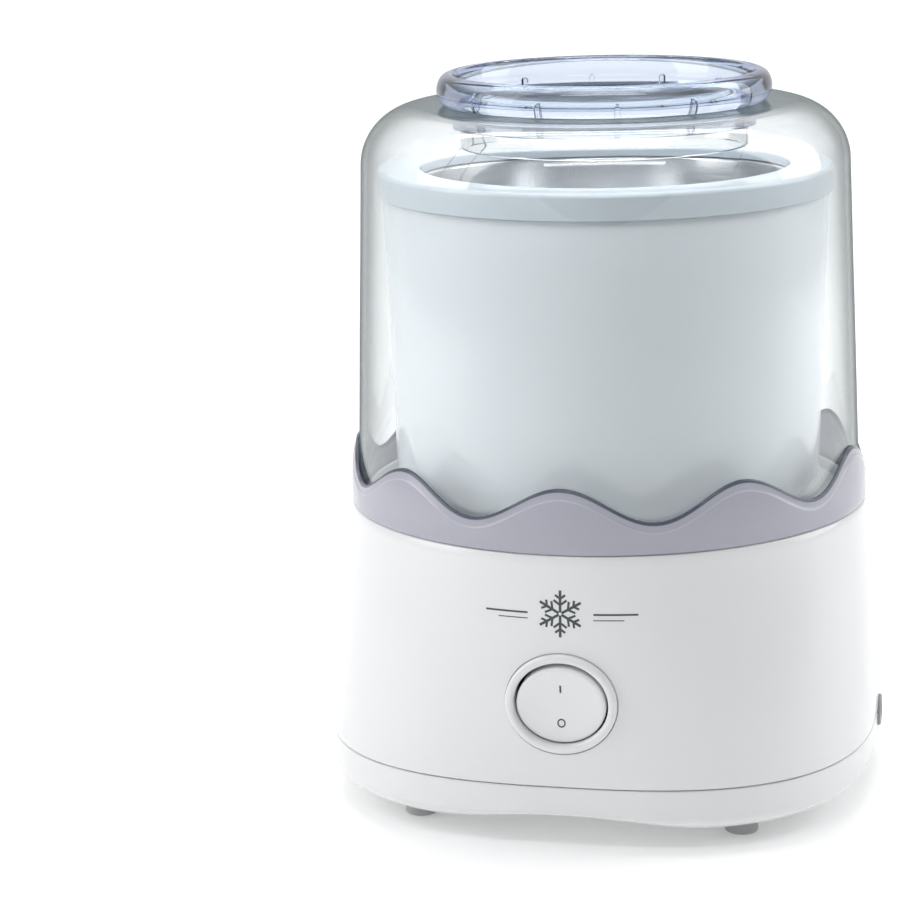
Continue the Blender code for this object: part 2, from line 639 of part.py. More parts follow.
def inlet_hole_tool():
    hole = INLET_RADIUS + GAP
    tool = add_object("inlet_hole_tool", turned([(0, -20 * MM), (hole, -20 * MM), (hole, 20 * MM), (0, 20 * MM)],
                                                SMALL_SIDES * 2), None)
    tool.matrix_world = inlet_frame()
    return tool


def make_inlet(rubber):
    """Bushing for the lead, held across the seam between housing and cover by its nut inside."""
    lip = INLET_RADIUS + INLET_LIP
    inside = -HOUSING_WALL - 1.2 * MM
    profile = [
        (INLET_HOLE_RADIUS, inside - 6 * MM), (INLET_RADIUS, inside - 6 * MM),
        (INLET_RADIUS, INLET_PROUD - 0.2 * MM),
        (INLET_RADIUS - 1 * MM, INLET_PROUD), (INLET_HOLE_RADIUS + 0.8 * MM, INLET_PROUD),
        (INLET_HOLE_RADIUS, INLET_PROUD - 0.8 * MM),
    ]
    body = turned(profile, SMALL_SIDES * 2)
    bushing = add_object("cord_inlet_bushing", body, rubber)
    bushing.matrix_world = inlet_frame()
    nut_profile = [
        (INLET_RADIUS + GAP, inside - 4 * MM), (lip, inside - 4 * MM),
        (lip, inside), (INLET_RADIUS + GAP, inside),
    ]
    nut = add_object("cord_inlet_nut", turned(nut_profile, SMALL_SIDES * 2), rubber)
    nut.matrix_world = inlet_frame()


# ---------------------------------------------------------------- gears
def gear_outline(teeth, module, phase):
    """Straight-flanked teeth drawn inside the true involute, with a tooth centred on `phase`."""
    pitch = teeth * module / 2
    base = pitch * math.cos(PRESSURE_ANGLE)
    tip = pitch + ADDENDUM * module
    root = pitch - DEDENDUM * module

    def involute(radius):
        return math.tan(math.acos(min(1.0, base / radius))) - math.acos(min(1.0, base / radius))

    half_at_pitch = math.pi / (2 * teeth) - BACKLASH * module / (2 * pitch)

    def half_angle(radius):
        return half_at_pitch + involute(pitch) - involute(max(radius, base))

    points = []
    for i in range(teeth):
        centre = phase + math.tau * i / teeth
        at_root, at_tip = half_angle(root), half_angle(tip)
        flank = ((root, -at_root), (tip, -at_tip), (tip, at_tip), (root, at_root))
        for radius, offset in flank:
            a = centre + offset
            points.append((radius * math.cos(a), radius * math.sin(a)))
    return points


class GearTrain:
    """Places of the axes and tiers of the three-stage train, worked back from the output shaft."""

    def __init__(self):
        spacing = [m * (w + p) / 2 for m, w, p in zip(MODULES, WHEEL_TEETH, PINION_TEETH)]
        output = Vector((0, 0))
        self.axes = [output]
        for stage in (2, 1, 0):
            a = self.direction(stage)
            self.axes.insert(0, self.axes[0] + spacing[stage] * Vector((math.cos(a), math.sin(a))))
        # axes: motor, first wheel, second wheel, output
        plate_top = CASE_TOP - CASE_WALL - TIER_GAP - OUTPUT_FACE - 2 * (WHEEL_FACE + TIER_GAP) - TIER_GAP
        self.plate_top = plate_top
        first = plate_top + TIER_GAP
        second = first + WHEEL_FACE + TIER_GAP
        third = second + WHEEL_FACE + TIER_GAP
        faces = (WHEEL_FACE, WHEEL_FACE, OUTPUT_FACE)
        self.tiers = [(low, low + face) for low, face in zip((first, second, third), faces)]
        tips = [m * (w / 2 + ADDENDUM) for m, w in zip(MODULES, WHEEL_TEETH)]
        wheels = list(zip(self.axes[1:], tips))
        self.x0 = min(c.x - r for c, r in wheels) - CASE_MARGIN
        self.x1 = max(c.x + r for c, r in wheels) + CASE_MARGIN
        self.y0 = min(c.y - r for c, r in wheels) - CASE_MARGIN
        self.y1 = max(c.y + r for c, r in wheels) + CASE_MARGIN
        inset = CASE_BOSS_RADIUS
        xs = (self.x0 + inset, self.x1 - inset)
        ys = (self.y0 + inset, self.y1 - inset)
        self.screw_points = [(x, y) for x in xs for y in ys]

    @staticmethod
    def direction(stage):
        """Angle from a stage's wheel to its pinion."""
        return math.radians(STAGE_ANGLES[stage])

    def wheel_phase(self, stage):
        """A wheel tooth points at its pinion."""
        return self.direction(stage)

    def pinion_phase(self, stage):
        """A pinion gap faces that tooth."""
        return self.direction(stage) + math.pi + math.pi / PINION_TEETH[stage]


def make_gears(train, nylon, acetal, steel):
    bore = circle(AXLE_RADIUS + RUN, SMALL_SIDES)
    hub = circle(GEAR_HUB_RADIUS, SMALL_SIDES * 2)
    for stage, name, material in ((0, "first_gear", nylon), (1, "second_gear", acetal)):
        low, high = train.tiers[stage]
        centre = train.axes[stage + 1]
        wheel = slab([gear_outline(WHEEL_TEETH[stage], MODULES[stage], train.wheel_phase(stage))], low, high)
        gear = add_object(name, wheel, material, (*centre, 0))
        next_high = train.tiers[stage + 1][1]
        shape = gear_outline(PINION_TEETH[stage + 1], MODULES[stage + 1], train.pinion_phase(stage + 1))
        pinion = slab([shape], high - 1 * MM, next_high)
        pinion_tool = add_object(name + "_pinion_tool", pinion, None, (*centre, 0))
        foot = slab([hub], train.plate_top + GAP, low + 1 * MM)
        foot_tool = add_object(name + "_hub_tool", foot, None, (*centre, 0))
        unite(gear, pinion_tool, foot_tool)
        cut(gear, add_object(name + "_bore_tool", slab([bore], 0, 2 * CASE_TOP), None, (*centre, 0)))
        axle = slab([circle(AXLE_RADIUS, SMALL_SIDES)], train.plate_top - CASE_PLATE, CASE_TOP - 0.6 * MM)
        add_object(name.replace("gear", "axle"), axle, steel, (*centre, 0))

    axis = axis_empty("bowl_spin_axis", (0, 0, 0))
    low, high = train.tiers[2]
    shaft_hole = circle(SHAFT_RADIUS + GAP, SMALL_SIDES * 2)
    wheel = slab([gear_outline(WHEEL_TEETH[2], MODULES[2], train.wheel_phase(2)), shaft_hole], low, high)
    add_object("output_gear", wheel, nylon, (0, 0, 0), axis)
    return axis


def make_gear_case(train, grey, steel, bronze):
    plate_low = train.plate_top - CASE_PLATE
    edge = rounded_rectangle(train.x0, train.y0, train.x1, train.y1, CASE_BOSS_RADIUS)
    case_low = train.plate_top + GAP
    case = add_object("gear_case", slab([edge], case_low, CASE_TOP), grey)
    inner = rounded_rectangle(train.x0 + CASE_WALL, train.y0 + CASE_WALL, train.x1 - CASE_WALL,
                              train.y1 - CASE_WALL, 2 * MM)
    pocket = add_object("case_pocket_tool", slab([inner], 0, CASE_TOP - CASE_WALL), None)
    cut(case, pocket)
    bosses = []
    holes = []
    for x, y in train.screw_points:
        boss = slab([circle(CASE_BOSS_RADIUS, SMALL_SIDES, (x, y))], case_low, CASE_TOP - 1 * MM)
        bosses.append(add_object("case_boss_tool", boss, None))
        hole = slab([circle(SCREW_RADIUS + RUN, SMALL_SIDES, (x, y))], 0, 2 * CASE_TOP)
        holes.append(add_object("case_hole_tool", hole, None))
    unite(case, *bosses)
    for axis in train.axes[1:3]:
        hole = slab([circle(AXLE_RADIUS + RUN, SMALL_SIDES, axis)], CASE_TOP - 2 * CASE_WALL, 2 * CASE_TOP)
        holes.append(add_object("axle_hole_tool", hole, None))
    clear = SHAFT_RADIUS + 1.2 * MM
    holes.append(add_object("shaft_hole_tool", slab([circle(clear, SMALL_SIDES * 2)], 0, 2 * CASE_TOP), None))
    cut(case, *holes)

    # The plate closes the case from below and carries the motor.
    openings = [circle(SCREW_RADIUS + RUN, SMALL_SIDES, point) for point in train.screw_points]
    openings += [circle(AXLE_RADIUS + RUN, SMALL_SIDES, axis) for axis in train.axes[1:3]]
    openings.append(circle(MOTOR_SHAFT_RADIUS + 1.5 * MM, SMALL_SIDES, train.axes[0]))
    openings.append(circle(SHAFT_RADIUS + RUN + BUSH_WALL + GAP, SMALL_SIDES * 2))
    rotor = train.axes[0]
    for side in (-1, 1):
        centre = (rotor.x + side * MOTOR_SCREW_OFFSET, rotor.y)
        openings.append(circle(SCREW_RADIUS + RUN, SMALL_SIDES, centre))
    plate = slab([edge] + openings, plate_low, train.plate_top)
    add_object("gear_case_plate", plate, steel)

    head = 2 * MM
    grip = DECK_TOP - DECK_WALL - 2 * MM - plate_low
    for i, (x, y) in enumerate(train.screw_points):
        body = turned(pan_screw_profile(SCREW_HEAD_RADIUS - 0.2 * MM, head, grip), SMALL_SIDES)
        add_object(f"gear_case_screw_{i + 1}", body, steel, (x, y, plate_low - head - GAP))

    inner_radius = SHAFT_RADIUS + RUN
    outer_radius = inner_radius + BUSH_WALL
    flange = outer_radius + 1.6 * MM
    top = slab([circle(outer_radius, SMALL_SIDES * 2), circle(inner_radius, SMALL_SIDES * 2)],
               CASE_TOP + GAP, DECK_TOP)
    add_object("upper_shaft_bush", top, bronze)
    low_profile = [
        (inner_radius, plate_low), (outer_radius, plate_low), (outer_radius, train.plate_top + GAP),
        (flange, train.plate_top + GAP), (flange, train.plate_top + 2 * MM),
        (inner_radius, train.plate_top + 2 * MM),
    ]
    add_object("lower_shaft_bush", turned(low_profile, SMALL_SIDES * 2), bronze)


def make_drive(train, axis, white, steel):
    bottom = train.plate_top - CASE_PLATE - 1 * MM
    shaft = turned([(0, bottom), (SHAFT_RADIUS - 0.6 * MM, bottom), (SHAFT_RADIUS, bottom + 0.6 * MM),
                    (SHAFT_RADIUS, HUB_TOP + 2 * MM), (0, HUB_TOP + 2 * MM)], SMALL_SIDES * 2)
    add_object("output_shaft", shaft, steel, (0, 0, 0), axis)
    bore = SHAFT_RADIUS + GAP
    flange = slab([circle(HUB_RADIUS, ROUND_SIDES)], HUB_BOTTOM, HUB_TOP)
    hub = add_object("drive_hub", flange, white, (0, 0, 0), axis)
    dogs = slab([dog_outline(0)], HUB_TOP - 1 * MM, HUB_TOP + DOG_HEIGHT)
    unite(hub, add_object("dog_tool", dogs, None))
    recess = slab([circle(bore, SMALL_SIDES * 2)], 0, HUB_TOP + 2 * MM + GAP)
    cut(hub, add_object("hub_bore_tool", recess, None))


def dog_outline(grow):
    """Round boss with square dogs on it; `grow` widens it for the socket."""
    points = []
    inner = DOG_RADIUS + grow
    outer = DOG_RADIUS + DOG_DEPTH + grow
    for i in range(DOG_COUNT):
        centre = math.tau * i / DOG_COUNT
        half = math.tau / DOG_COUNT / 4 + grow / DOG_RADIUS
        left, right = centre - half, centre + half
        for radius, a in ((inner, left), (outer, left), (outer, right), (inner, right)):
            points.append((radius * math.cos(a), radius * math.sin(a)))
    return points


# ---------------------------------------------------------------- motor
def make_motor(train, steel, iron, copper, bronze, nylon):
    rotor_at = train.axes[0]
    at = (*rotor_at, 0)
    stack_top = STACK_BOTTOM + STACK_HEIGHT
    screws = [(side * MOTOR_SCREW_OFFSET, 0) for side in (-1, 1)]
    screw_holes = [circle(SCREW_RADIUS + RUN, SMALL_SIDES, point) for point in screws]
    window_end = FRAME_TAIL - FRAME_LEG
    frame = slab([
        rounded_rectangle(-FRAME_HALF_WIDTH, -FRAME_TAIL, FRAME_HALF_WIDTH, FRAME_HEAD, 2 * MM, 2),
        rectangle(-WINDOW_HALF_WIDTH, -window_end, WINDOW_HALF_WIDTH, -WINDOW_START),
        circle(ROTOR_RADIUS + AIR_GAP, SMALL_SIDES * 2),
    ] + screw_holes, STACK_BOTTOM, stack_top)
    add_object("motor_stator", frame, iron, at)

    # The coil is a rectangular tube round the tail leg, which runs along X.
    coil_half = WINDOW_HALF_WIDTH - 2 * GAP
    leg_y = -(window_end + FRAME_TAIL) / 2
    leg_z = STACK_BOTTOM + STACK_HEIGHT / 2
    inner_y = FRAME_LEG / 2 + GAP
    inner_z = STACK_HEIGHT / 2 + GAP
    outer = rounded_rectangle(-inner_y - COIL_BUILD, -inner_z - COIL_BUILD, inner_y + COIL_BUILD,
                              inner_z + COIL_BUILD, 4 * MM, 3)
    coil = slab([outer, rectangle(-inner_y, -inner_z, inner_y, inner_z)], -coil_half, coil_half)
    bmesh.ops.rotate(coil, verts=coil.verts, cent=(0, 0, 0),
                     matrix=Matrix.Rotation(math.pi / 2, 3, "Y") @ Matrix.Rotation(math.pi / 2, 3, "Z"))
    add_object("motor_coil", coil, copper, (rotor_at.x, rotor_at.y + leg_y, leg_z))

    # Two brackets hold the bearings, above and below the stack.
    lower = STACK_BOTTOM - BRACKET_GAP - BRACKET_WALL
    upper = stack_top + BRACKET_GAP
    reach = MOTOR_SCREW_OFFSET + 4.4 * MM
    tube = [circle(SCREW_RADIUS + 2.2 * MM, SMALL_SIDES), circle(SCREW_RADIUS + RUN, SMALL_SIDES)]
    overlap = 0.5 * MM
    legs = {
        "motor_lower_bracket": (lower + BRACKET_WALL - overlap, STACK_BOTTOM - GAP),
        "motor_upper_bracket": (stack_top + GAP, upper + overlap),
    }
    for name, low in (("motor_lower_bracket", lower), ("motor_upper_bracket", upper)):
        edge = rounded_rectangle(-reach, -BRACKET_HALF_WIDTH, reach, BRACKET_HALF_WIDTH, 3 * MM, 2)
        body = slab([edge, circle(BEARING_RADIUS + GAP, SMALL_SIDES * 2)], low, low + BRACKET_WALL)
        bracket = add_object(name, body, steel, at)
        for x, _ in screws:
            point = (rotor_at.x + x, rotor_at.y, 0)
            unite(bracket, add_object("bracket_leg_tool", slab([tube[0]], *legs[name]), None, point))
            cut(bracket, add_object("bracket_hole_tool", slab([tube[1]], 0, CASE_TOP), None, point))
        middle = low + BRACKET_WALL / 2
        shaft_hole = circle(MOTOR_SHAFT_RADIUS + RUN, SMALL_SIDES)
        bearing = slab([circle(BEARING_RADIUS, SMALL_SIDES * 2), shaft_hole],
                       middle - BEARING_HEIGHT / 2, middle + BEARING_HEIGHT / 2)
        add_object(name.replace("bracket", "bearing"), bearing, bronze, at)

    plate_low = train.plate_top - CASE_PLATE
    for i, (x, y) in enumerate(screws):
        point = (rotor_at.x + x, rotor_at.y + y, 0)
        spacer = slab(tube, upper + BRACKET_WALL + GAP, plate_low - GAP)
        add_object(f"motor_spacer_{i + 1}", spacer, steel, point)
        head = 2 * MM
        length = train.plate_top - lower
        body = turned(pan_screw_profile(SCREW_HEAD_RADIUS, head, length), SMALL_SIDES)
        add_object(f"motor_screw_{i + 1}", body, steel, (point[0], point[1], lower - head - GAP))

    axis = axis_empty("rotor_spin_axis", at)
    low, high = train.tiers[0]
    fan_low = lower - 5 * MM - FAN_HEIGHT
    shaft_low, shaft_high = fan_low - 2 * MM, high + 0.5 * MM
    shaft = turned([(0, shaft_low), (MOTOR_SHAFT_RADIUS, shaft_low), (MOTOR_SHAFT_RADIUS, shaft_high),
                    (0, shaft_high)], SMALL_SIDES)
    add_object("rotor_shaft", shaft, steel, at, axis)
    hole = circle(MOTOR_SHAFT_RADIUS + GAP, SMALL_SIDES)
    rotor = slab([circle(ROTOR_RADIUS, SMALL_SIDES * 2), hole], STACK_BOTTOM, stack_top)
    add_object("rotor_core", rotor, iron, at, axis)
    pinion = slab([gear_outline(PINION_TEETH[0], MODULES[0], train.pinion_phase(0)), hole], low, high)
    add_object("motor_pinion", pinion, bronze, at, axis)
    fan = slab([fan_outline(), hole], fan_low, fan_low + FAN_HEIGHT)
    add_object("cooling_fan", fan, nylon, at, axis)


def fan_outline():
    """Straight radial blades round a hub."""
    points = []
    hub = 5 * MM
    for i in range(FAN_BLADES):
        centre = math.tau * i / FAN_BLADES
        for radius, side in ((hub, -1), (FAN_RADIUS, -1), (FAN_RADIUS, 1), (hub, 1)):
            a = centre + side * FAN_BLADE_WALL / 2 / radius
            points.append((radius * math.cos(a), radius * math.sin(a)))
    return points


# ---------------------------------------------------------------- freezer bowl
def make_bowl(white, metal, gel, rubber, spin_axis):
    axis = axis_empty("bowl_lift_axis", (0, 0, BOWL_BOTTOM), spin_axis)
    shell_top = RIM_BOTTOM + 2 * MM
    taper = BOWL_RADIUS - BOWL_FOOT_RADIUS
    inner = BOWL_WALL
    floor = BOWL_BOTTOM + BOWL_WALL
    foot_centre = (BOWL_FOOT_RADIUS - BOWL_FOOT_ROUND, BOWL_BOTTOM + BOWL_FOOT_ROUND)
    foot = arc(foot_centre, BOWL_FOOT_ROUND, -90, 0, 3)
    foot_inside = arc(foot_centre, BOWL_FOOT_ROUND - inner, 0, -90, 3)
    socket_hole = DOG_RADIUS + DOG_DEPTH + DOG_PLAY
    profile = [(0, SOCKET_TOP), (socket_hole, SOCKET_TOP), (socket_hole, BOWL_BOTTOM)]
    profile += foot + [(BOWL_RADIUS, shell_top), (BOWL_RADIUS - inner, shell_top)]
    profile += foot_inside
    profile += [(SOCKET_RADIUS, floor), (SOCKET_RADIUS, SOCKET_TOP + inner), (0, SOCKET_TOP + inner)]
    shell = add_object("bowl_shell", turned(profile), white, (0, 0, 0), axis)
    keys = []
    for i in range(DOG_COUNT):
        a0 = math.tau * (i + 0.5) / DOG_COUNT
        half = math.tau / DOG_COUNT / 4 - DOG_PLAY / DOG_RADIUS
        inner_edge = DOG_RADIUS + DOG_PLAY
        outer_edge = socket_hole + 1 * MM
        key = [(r * math.cos(a0 + s), r * math.sin(a0 + s))
               for r, s in ((inner_edge, -half), (outer_edge, -half), (outer_edge, half), (inner_edge, half))]
        key_body = slab([key], BOWL_BOTTOM + 0.5 * MM, SOCKET_TOP + 1 * MM)
        keys.append(add_object("socket_key_tool", key_body, None))
    unite(shell, *keys)
    plug_hole = slab([circle(PLUG_RADIUS + GAP, SMALL_SIDES, (PLUG_OFFSET, 0))], 0, floor + 1 * MM)
    cut(shell, add_object("plug_hole_tool", plug_hole, None))
    plug_profile = [(0, BOWL_BOTTOM), (PLUG_RADIUS, BOWL_BOTTOM), (PLUG_RADIUS - 0.5 * MM, floor), (0, floor)]
    add_object("bowl_fill_plug", turned(plug_profile, SMALL_SIDES), rubber, (PLUG_OFFSET, 0, 0), axis)

    # Liner: a deep drawn aluminium pot with a flange under the rim ring.
    liner_out = LINER_RADIUS + LINER_WALL
    flange_low = shell_top + SEAL_HEIGHT + 2 * GAP
    flange_high = flange_low + LINER_WALL
    flange_out = BOWL_RADIUS - 0.4 * MM
    round_centre = (LINER_RADIUS - LINER_ROUND, LINER_FLOOR + LINER_ROUND)
    pot_out = arc(round_centre, LINER_ROUND + LINER_WALL, -90, 0, 2)
    pot_in = arc(round_centre, LINER_ROUND, 0, -90, 2)
    profile = [(0, LINER_FLOOR - LINER_WALL)] + pot_out
    profile += [(liner_out, flange_low), (flange_out, flange_low), (flange_out, flange_high)]
    profile += [(LINER_RADIUS, flange_high)] + pot_in + [(0, LINER_FLOOR)]
    add_object("bowl_liner", turned(profile), metal, (0, 0, 0), axis)

    # Seal between the shell's edge and the liner's flange.
    seal = [(BOWL_RADIUS - inner, shell_top + GAP), (BOWL_RADIUS - 0.2 * MM, shell_top + GAP),
            (BOWL_RADIUS - 0.2 * MM, flange_low - GAP), (BOWL_RADIUS - inner, flange_low - GAP)]
    add_object("bowl_seal", turned(seal), rubber, (0, 0, 0), axis)

    # Coolant: the charge that fills the space between shell and liner, with head room above it.
    fill = BOWL_BOTTOM + (RIM_BOTTOM - BOWL_BOTTOM) * 0.93
    side = BOWL_FOOT_RADIUS - inner - GAP
    over_socket = SOCKET_TOP + inner + GAP
    around_socket = SOCKET_RADIUS + GAP
    under_liner = LINER_FLOOR - LINER_WALL - GAP
    pot = arc(round_centre, LINER_ROUND + LINER_WALL + GAP, 0, -90, 2)
    side_top = side + taper * 0.9
    profile = [(0, over_socket), (around_socket, over_socket), (around_socket, floor + GAP)]
    profile += arc(foot_centre, BOWL_FOOT_ROUND - inner - GAP, -90, 0, 2)
    profile += [(side_top, fill), (liner_out + GAP, fill)] + pot + [(0, under_liner)]
    add_object("coolant_charge", turned(profile), gel, (0, 0, 0), axis)

    # Rim ring: caps the two walls, hooked over the shell.
    rim_low = flange_high + GAP
    rim_in = BOWL_RADIUS + GAP
    profile = [
        (rim_in, RIM_BOTTOM), (BOWL_RIM_RADIUS, RIM_BOTTOM),
        (BOWL_RIM_RADIUS, BOWL_RIM_TOP - 1.2 * MM), (BOWL_RIM_RADIUS - 1.2 * MM, BOWL_RIM_TOP),
        (LINER_RADIUS + 1 * MM, BOWL_RIM_TOP),
        (LINER_RADIUS, BOWL_RIM_TOP - 1 * MM), (LINER_RADIUS, rim_low), (rim_in, rim_low),
    ]
    add_object("bowl_rim", turned(profile), white, (0, 0, 0), axis)


# ---------------------------------------------------------------- mixing arm and lid
def make_mixing_arm(clear):
    top = LID_FLAT - RING_SKIRT - GAP
    low = top - ARM_RING_HEIGHT
    axis = axis_empty("arm_lift_axis", (0, 0, low))
    ring_hole = circle(ARM_RING_RADIUS - ARM_RING_WALL, ROUND_SIDES)
    ring = slab([circle(ARM_RING_RADIUS, ROUND_SIDES), ring_hole], low, top)
    arm = add_object("mixing_arm", ring, clear, (0, 0, 0), axis)
    blade_out = LINER_RADIUS - ARM_PLAY
    bar_low = LINER_FLOOR + ARM_PLAY
    bar_high = bar_low + ARM_BAR_HEIGHT
    neck = BOWL_RIM_TOP - 12 * MM
    ring_mid = ARM_RING_RADIUS - ARM_RING_WALL / 2
    round_in = LINER_ROUND + 1 * MM
    # One flat frame in the XZ plane: scraping blade on the left, bar along the floor, leg on the right.
    outline = [
        (-ring_mid - 1 * MM, top - 1 * MM), (-ring_mid - 1 * MM, low + 1 * MM), (-blade_out, neck),
        (-blade_out, bar_low + round_in), (-blade_out + round_in, bar_low),
        (ARM_INNER_LEG + ARM_BLADE, bar_low), (ARM_INNER_LEG + ARM_BLADE, neck - 30 * MM),
        (ring_mid + 1 * MM, low + 1 * MM), (ring_mid + 1 * MM, top - 1 * MM),
        (ring_mid - 5 * MM, top - 1 * MM),
        (ring_mid - 7 * MM, low), (ARM_INNER_LEG + 2 * MM, neck - 32 * MM), (ARM_INNER_LEG, bar_high),
        (-blade_out + ARM_BLADE, bar_high), (-blade_out + ARM_BLADE, neck - 6 * MM),
        (-ring_mid + 7 * MM, low), (-ring_mid + 5 * MM, top - 1 * MM),
    ]
    frame = slab([outline], -ARM_WALL / 2, ARM_WALL / 2)
    bmesh.ops.rotate(frame, verts=frame.verts, cent=(0, 0, 0), matrix=Matrix.Rotation(math.pi / 2, 3, "X"))
    unite(arm, add_object("arm_frame_tool", frame, None))


def make_lid(clear, tinted):
    axis = axis_empty("lid_lift_axis", (0, 0, LID_BOTTOM))
    centre = (LID_TOP_RADIUS - LID_SHOULDER_ROUND, LID_SHOULDER_HEIGHT)
    outside = [(LID_FOOT_RADIUS, LID_BOTTOM)] + arc(centre, LID_SHOULDER_ROUND, 0, 90, 5)
    outside.append((LID_HOLE_RADIUS + 0.6 * MM, LID_FLAT))
    inside = [(LID_HOLE_RADIUS + 0.6 * MM, LID_FLAT - LID_WALL)]
    inside += arc(centre, LID_SHOULDER_ROUND - LID_WALL, 90, 0, 4)
    inside.append((LID_FOOT_RADIUS - LID_WALL, LID_BOTTOM))
    add_object("lid", turned(outside + inside), clear, (0, 0, 0), axis)

    # Pouring ring: thick rounded lip above the lid's flat, fluted skirt down through its hole.
    seat = LID_FLAT + GAP
    top = LID_FLAT + RING_HEIGHT
    skirt_in = RING_SKIRT_RADIUS - RING_WALL
    skirt_low = LID_FLAT - RING_SKIRT
    profile = [
        (RING_SKIRT_RADIUS, skirt_low), (RING_SKIRT_RADIUS, seat), (RING_SEAM_RADIUS, seat),
        (RING_RADIUS, LID_FLAT + 4.5 * MM), (RING_RADIUS - 0.7 * MM, LID_FLAT + 8 * MM),
        (RING_RADIUS - 3.6 * MM, top - 0.6 * MM), (RING_RADIUS - 6 * MM, top),
        (skirt_in, LID_FLAT + 6 * MM), (skirt_in, skirt_low),
    ]
    ring = add_object("lid_pouring_ring", turned(profile), tinted, (0, 0, 0), axis)
    ribs = []
    for i in range(FLUTE_COUNT):
        a = math.tau * (i + 0.5) / FLUTE_COUNT
        rib = slab([rectangle(skirt_in - FLUTE_DEPTH, -FLUTE_WIDTH / 2, skirt_in + 1 * MM, FLUTE_WIDTH / 2)],
                   skirt_low + 0.5 * MM, LID_FLAT + 5 * MM)
        bmesh.ops.rotate(rib, verts=rib.verts, cent=(0, 0, 0), matrix=Matrix.Rotation(a, 3, "Z"))
        ribs.append(add_object("flute_tool", rib, None))
    unite(ring, *ribs)


# ---------------------------------------------------------------- assembly
def build():
    clear_scene()
    white = finish("white_housing", (0.86, 0.87, 0.88), 0.28)
    bowl_white = finish("bowl_plastic", (0.72, 0.75, 0.78), 0.35)
    clear = finish("clear_plastic", (0.93, 0.96, 0.98), 0.05, alpha=0.3)
    tinted = finish("tinted_clear_plastic", (0.62, 0.65, 0.74), 0.08, alpha=0.6)
    rubber = finish("grey_rubber", (0.42, 0.43, 0.44), 0.8)
    metal = finish("aluminium", (0.80, 0.81, 0.82), 0.25, 1.0)
    steel = finish("zinc_steel", (0.66, 0.67, 0.68), 0.35, 1.0)
    iron = finish("laminated_iron", (0.28, 0.28, 0.30), 0.5, 0.8)
    copper = finish("enamelled_copper", (0.62, 0.28, 0.12), 0.4, 0.6)
    bronze = finish("sintered_bronze", (0.62, 0.46, 0.22), 0.5, 1.0)
    nylon = finish("natural_nylon", (0.86, 0.84, 0.76), 0.5)
    acetal = finish("grey_acetal", (0.45, 0.47, 0.50), 0.45)
    dark = finish("black_plastic", (0.06, 0.06, 0.07), 0.5)
    gel = finish("blue_coolant", (0.20, 0.45, 0.75), 0.3)

    train = GearTrain()
    make_base_housing(white, train)
    make_bottom_cover(white)
    make_feet(rubber)
    make_cover_screws(steel)
    make_collar(tinted)
    make_switch(white, dark, steel, bronze)
    make_inlet(rubber)
    spin_axis = make_gears(train, nylon, acetal, steel)
    make_gear_case(train, acetal, steel, bronze)
    make_drive(train, spin_axis, nylon, steel)
    make_motor(train, steel, iron, copper, bronze, nylon)
    make_bowl(bowl_white, metal, gel, rubber, spin_axis)
    make_mixing_arm(clear)
    make_lid(clear, tinted)


build()
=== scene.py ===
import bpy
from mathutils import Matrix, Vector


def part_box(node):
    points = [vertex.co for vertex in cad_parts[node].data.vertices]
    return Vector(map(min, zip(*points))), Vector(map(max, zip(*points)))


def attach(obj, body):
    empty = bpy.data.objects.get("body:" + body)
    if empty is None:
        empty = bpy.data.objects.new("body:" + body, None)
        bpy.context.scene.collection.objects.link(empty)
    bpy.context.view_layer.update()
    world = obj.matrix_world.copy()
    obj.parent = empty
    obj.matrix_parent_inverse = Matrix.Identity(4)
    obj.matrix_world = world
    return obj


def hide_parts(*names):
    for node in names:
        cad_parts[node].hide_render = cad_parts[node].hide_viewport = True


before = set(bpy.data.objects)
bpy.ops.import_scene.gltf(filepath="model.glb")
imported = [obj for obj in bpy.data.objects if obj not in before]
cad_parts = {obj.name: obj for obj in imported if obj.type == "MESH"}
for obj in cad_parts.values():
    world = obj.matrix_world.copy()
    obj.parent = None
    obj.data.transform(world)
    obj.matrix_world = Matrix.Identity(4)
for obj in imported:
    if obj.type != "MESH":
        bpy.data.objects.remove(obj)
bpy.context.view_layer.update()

# ---------------------------------------------------------------- bottom cover
# A shallow white tray that closes the base from below. It is injection moulded in the same
# gloss plastic as the housing and is held up by four countersunk screws; slots let air in
# to the motor. Its outline is the foot of the housing, turned under along a soft edge.
import math

import bmesh
import bpy
from mathutils import Matrix, Vector

MM = 0.001
deck_top = 116 * MM
deck_radius = 103.8 * MM
seam_height = 25.8 * MM
foot_half_width = 109.4 * MM
foot_half_depth = 106.8 * MM
foot_squareness = 2.72
cover_floor = 5.6 * MM
cover_wall = 2.2 * MM
screw_x = 80 * MM
screw_y = 50 * MM
rubber_foot_x = 63.6 * MM
rubber_foot_y = 70.8 * MM
inlet_height = 25 * MM
inlet_y = 10 * MM


def base_reach(angle, z, inset=0.0):
    """Distance of the base's skin from the axis: round at the deck, a rounded square at the seam."""
    drop = min(1.0, max(0.0, (deck_top - z) / (deck_top - seam_height)))
    swell = math.sin(drop * math.pi / 2)
    half_width = deck_radius + (foot_half_width - deck_radius) * swell - inset
    half_depth = deck_radius + (foot_half_depth - deck_radius) * swell - inset
    power = 2 + (foot_squareness - 2) * drop ** 1.5
    across = abs(math.cos(angle) / half_width) ** power + abs(math.sin(angle) / half_depth) ** power
    return across ** (-1 / power)


def around(sides, start=0.0):
    return [start + math.tau * i / sides for i in range(sides)]


def skin_point(angle, level, inset, z):
    """A point at height z on the skin's outline at a level, moved inwards."""
    r = base_reach(angle, level, inset)
    return (r * math.cos(angle), r * math.sin(angle), z)


def level_ring(radius, height, sides):
    return [(radius * math.cos(a), radius * math.sin(a), height) for a in around(sides)]


def mm(*points):
    """Points that are written in millimetres."""
    return [(across * MM, along * MM) for across, along in points]


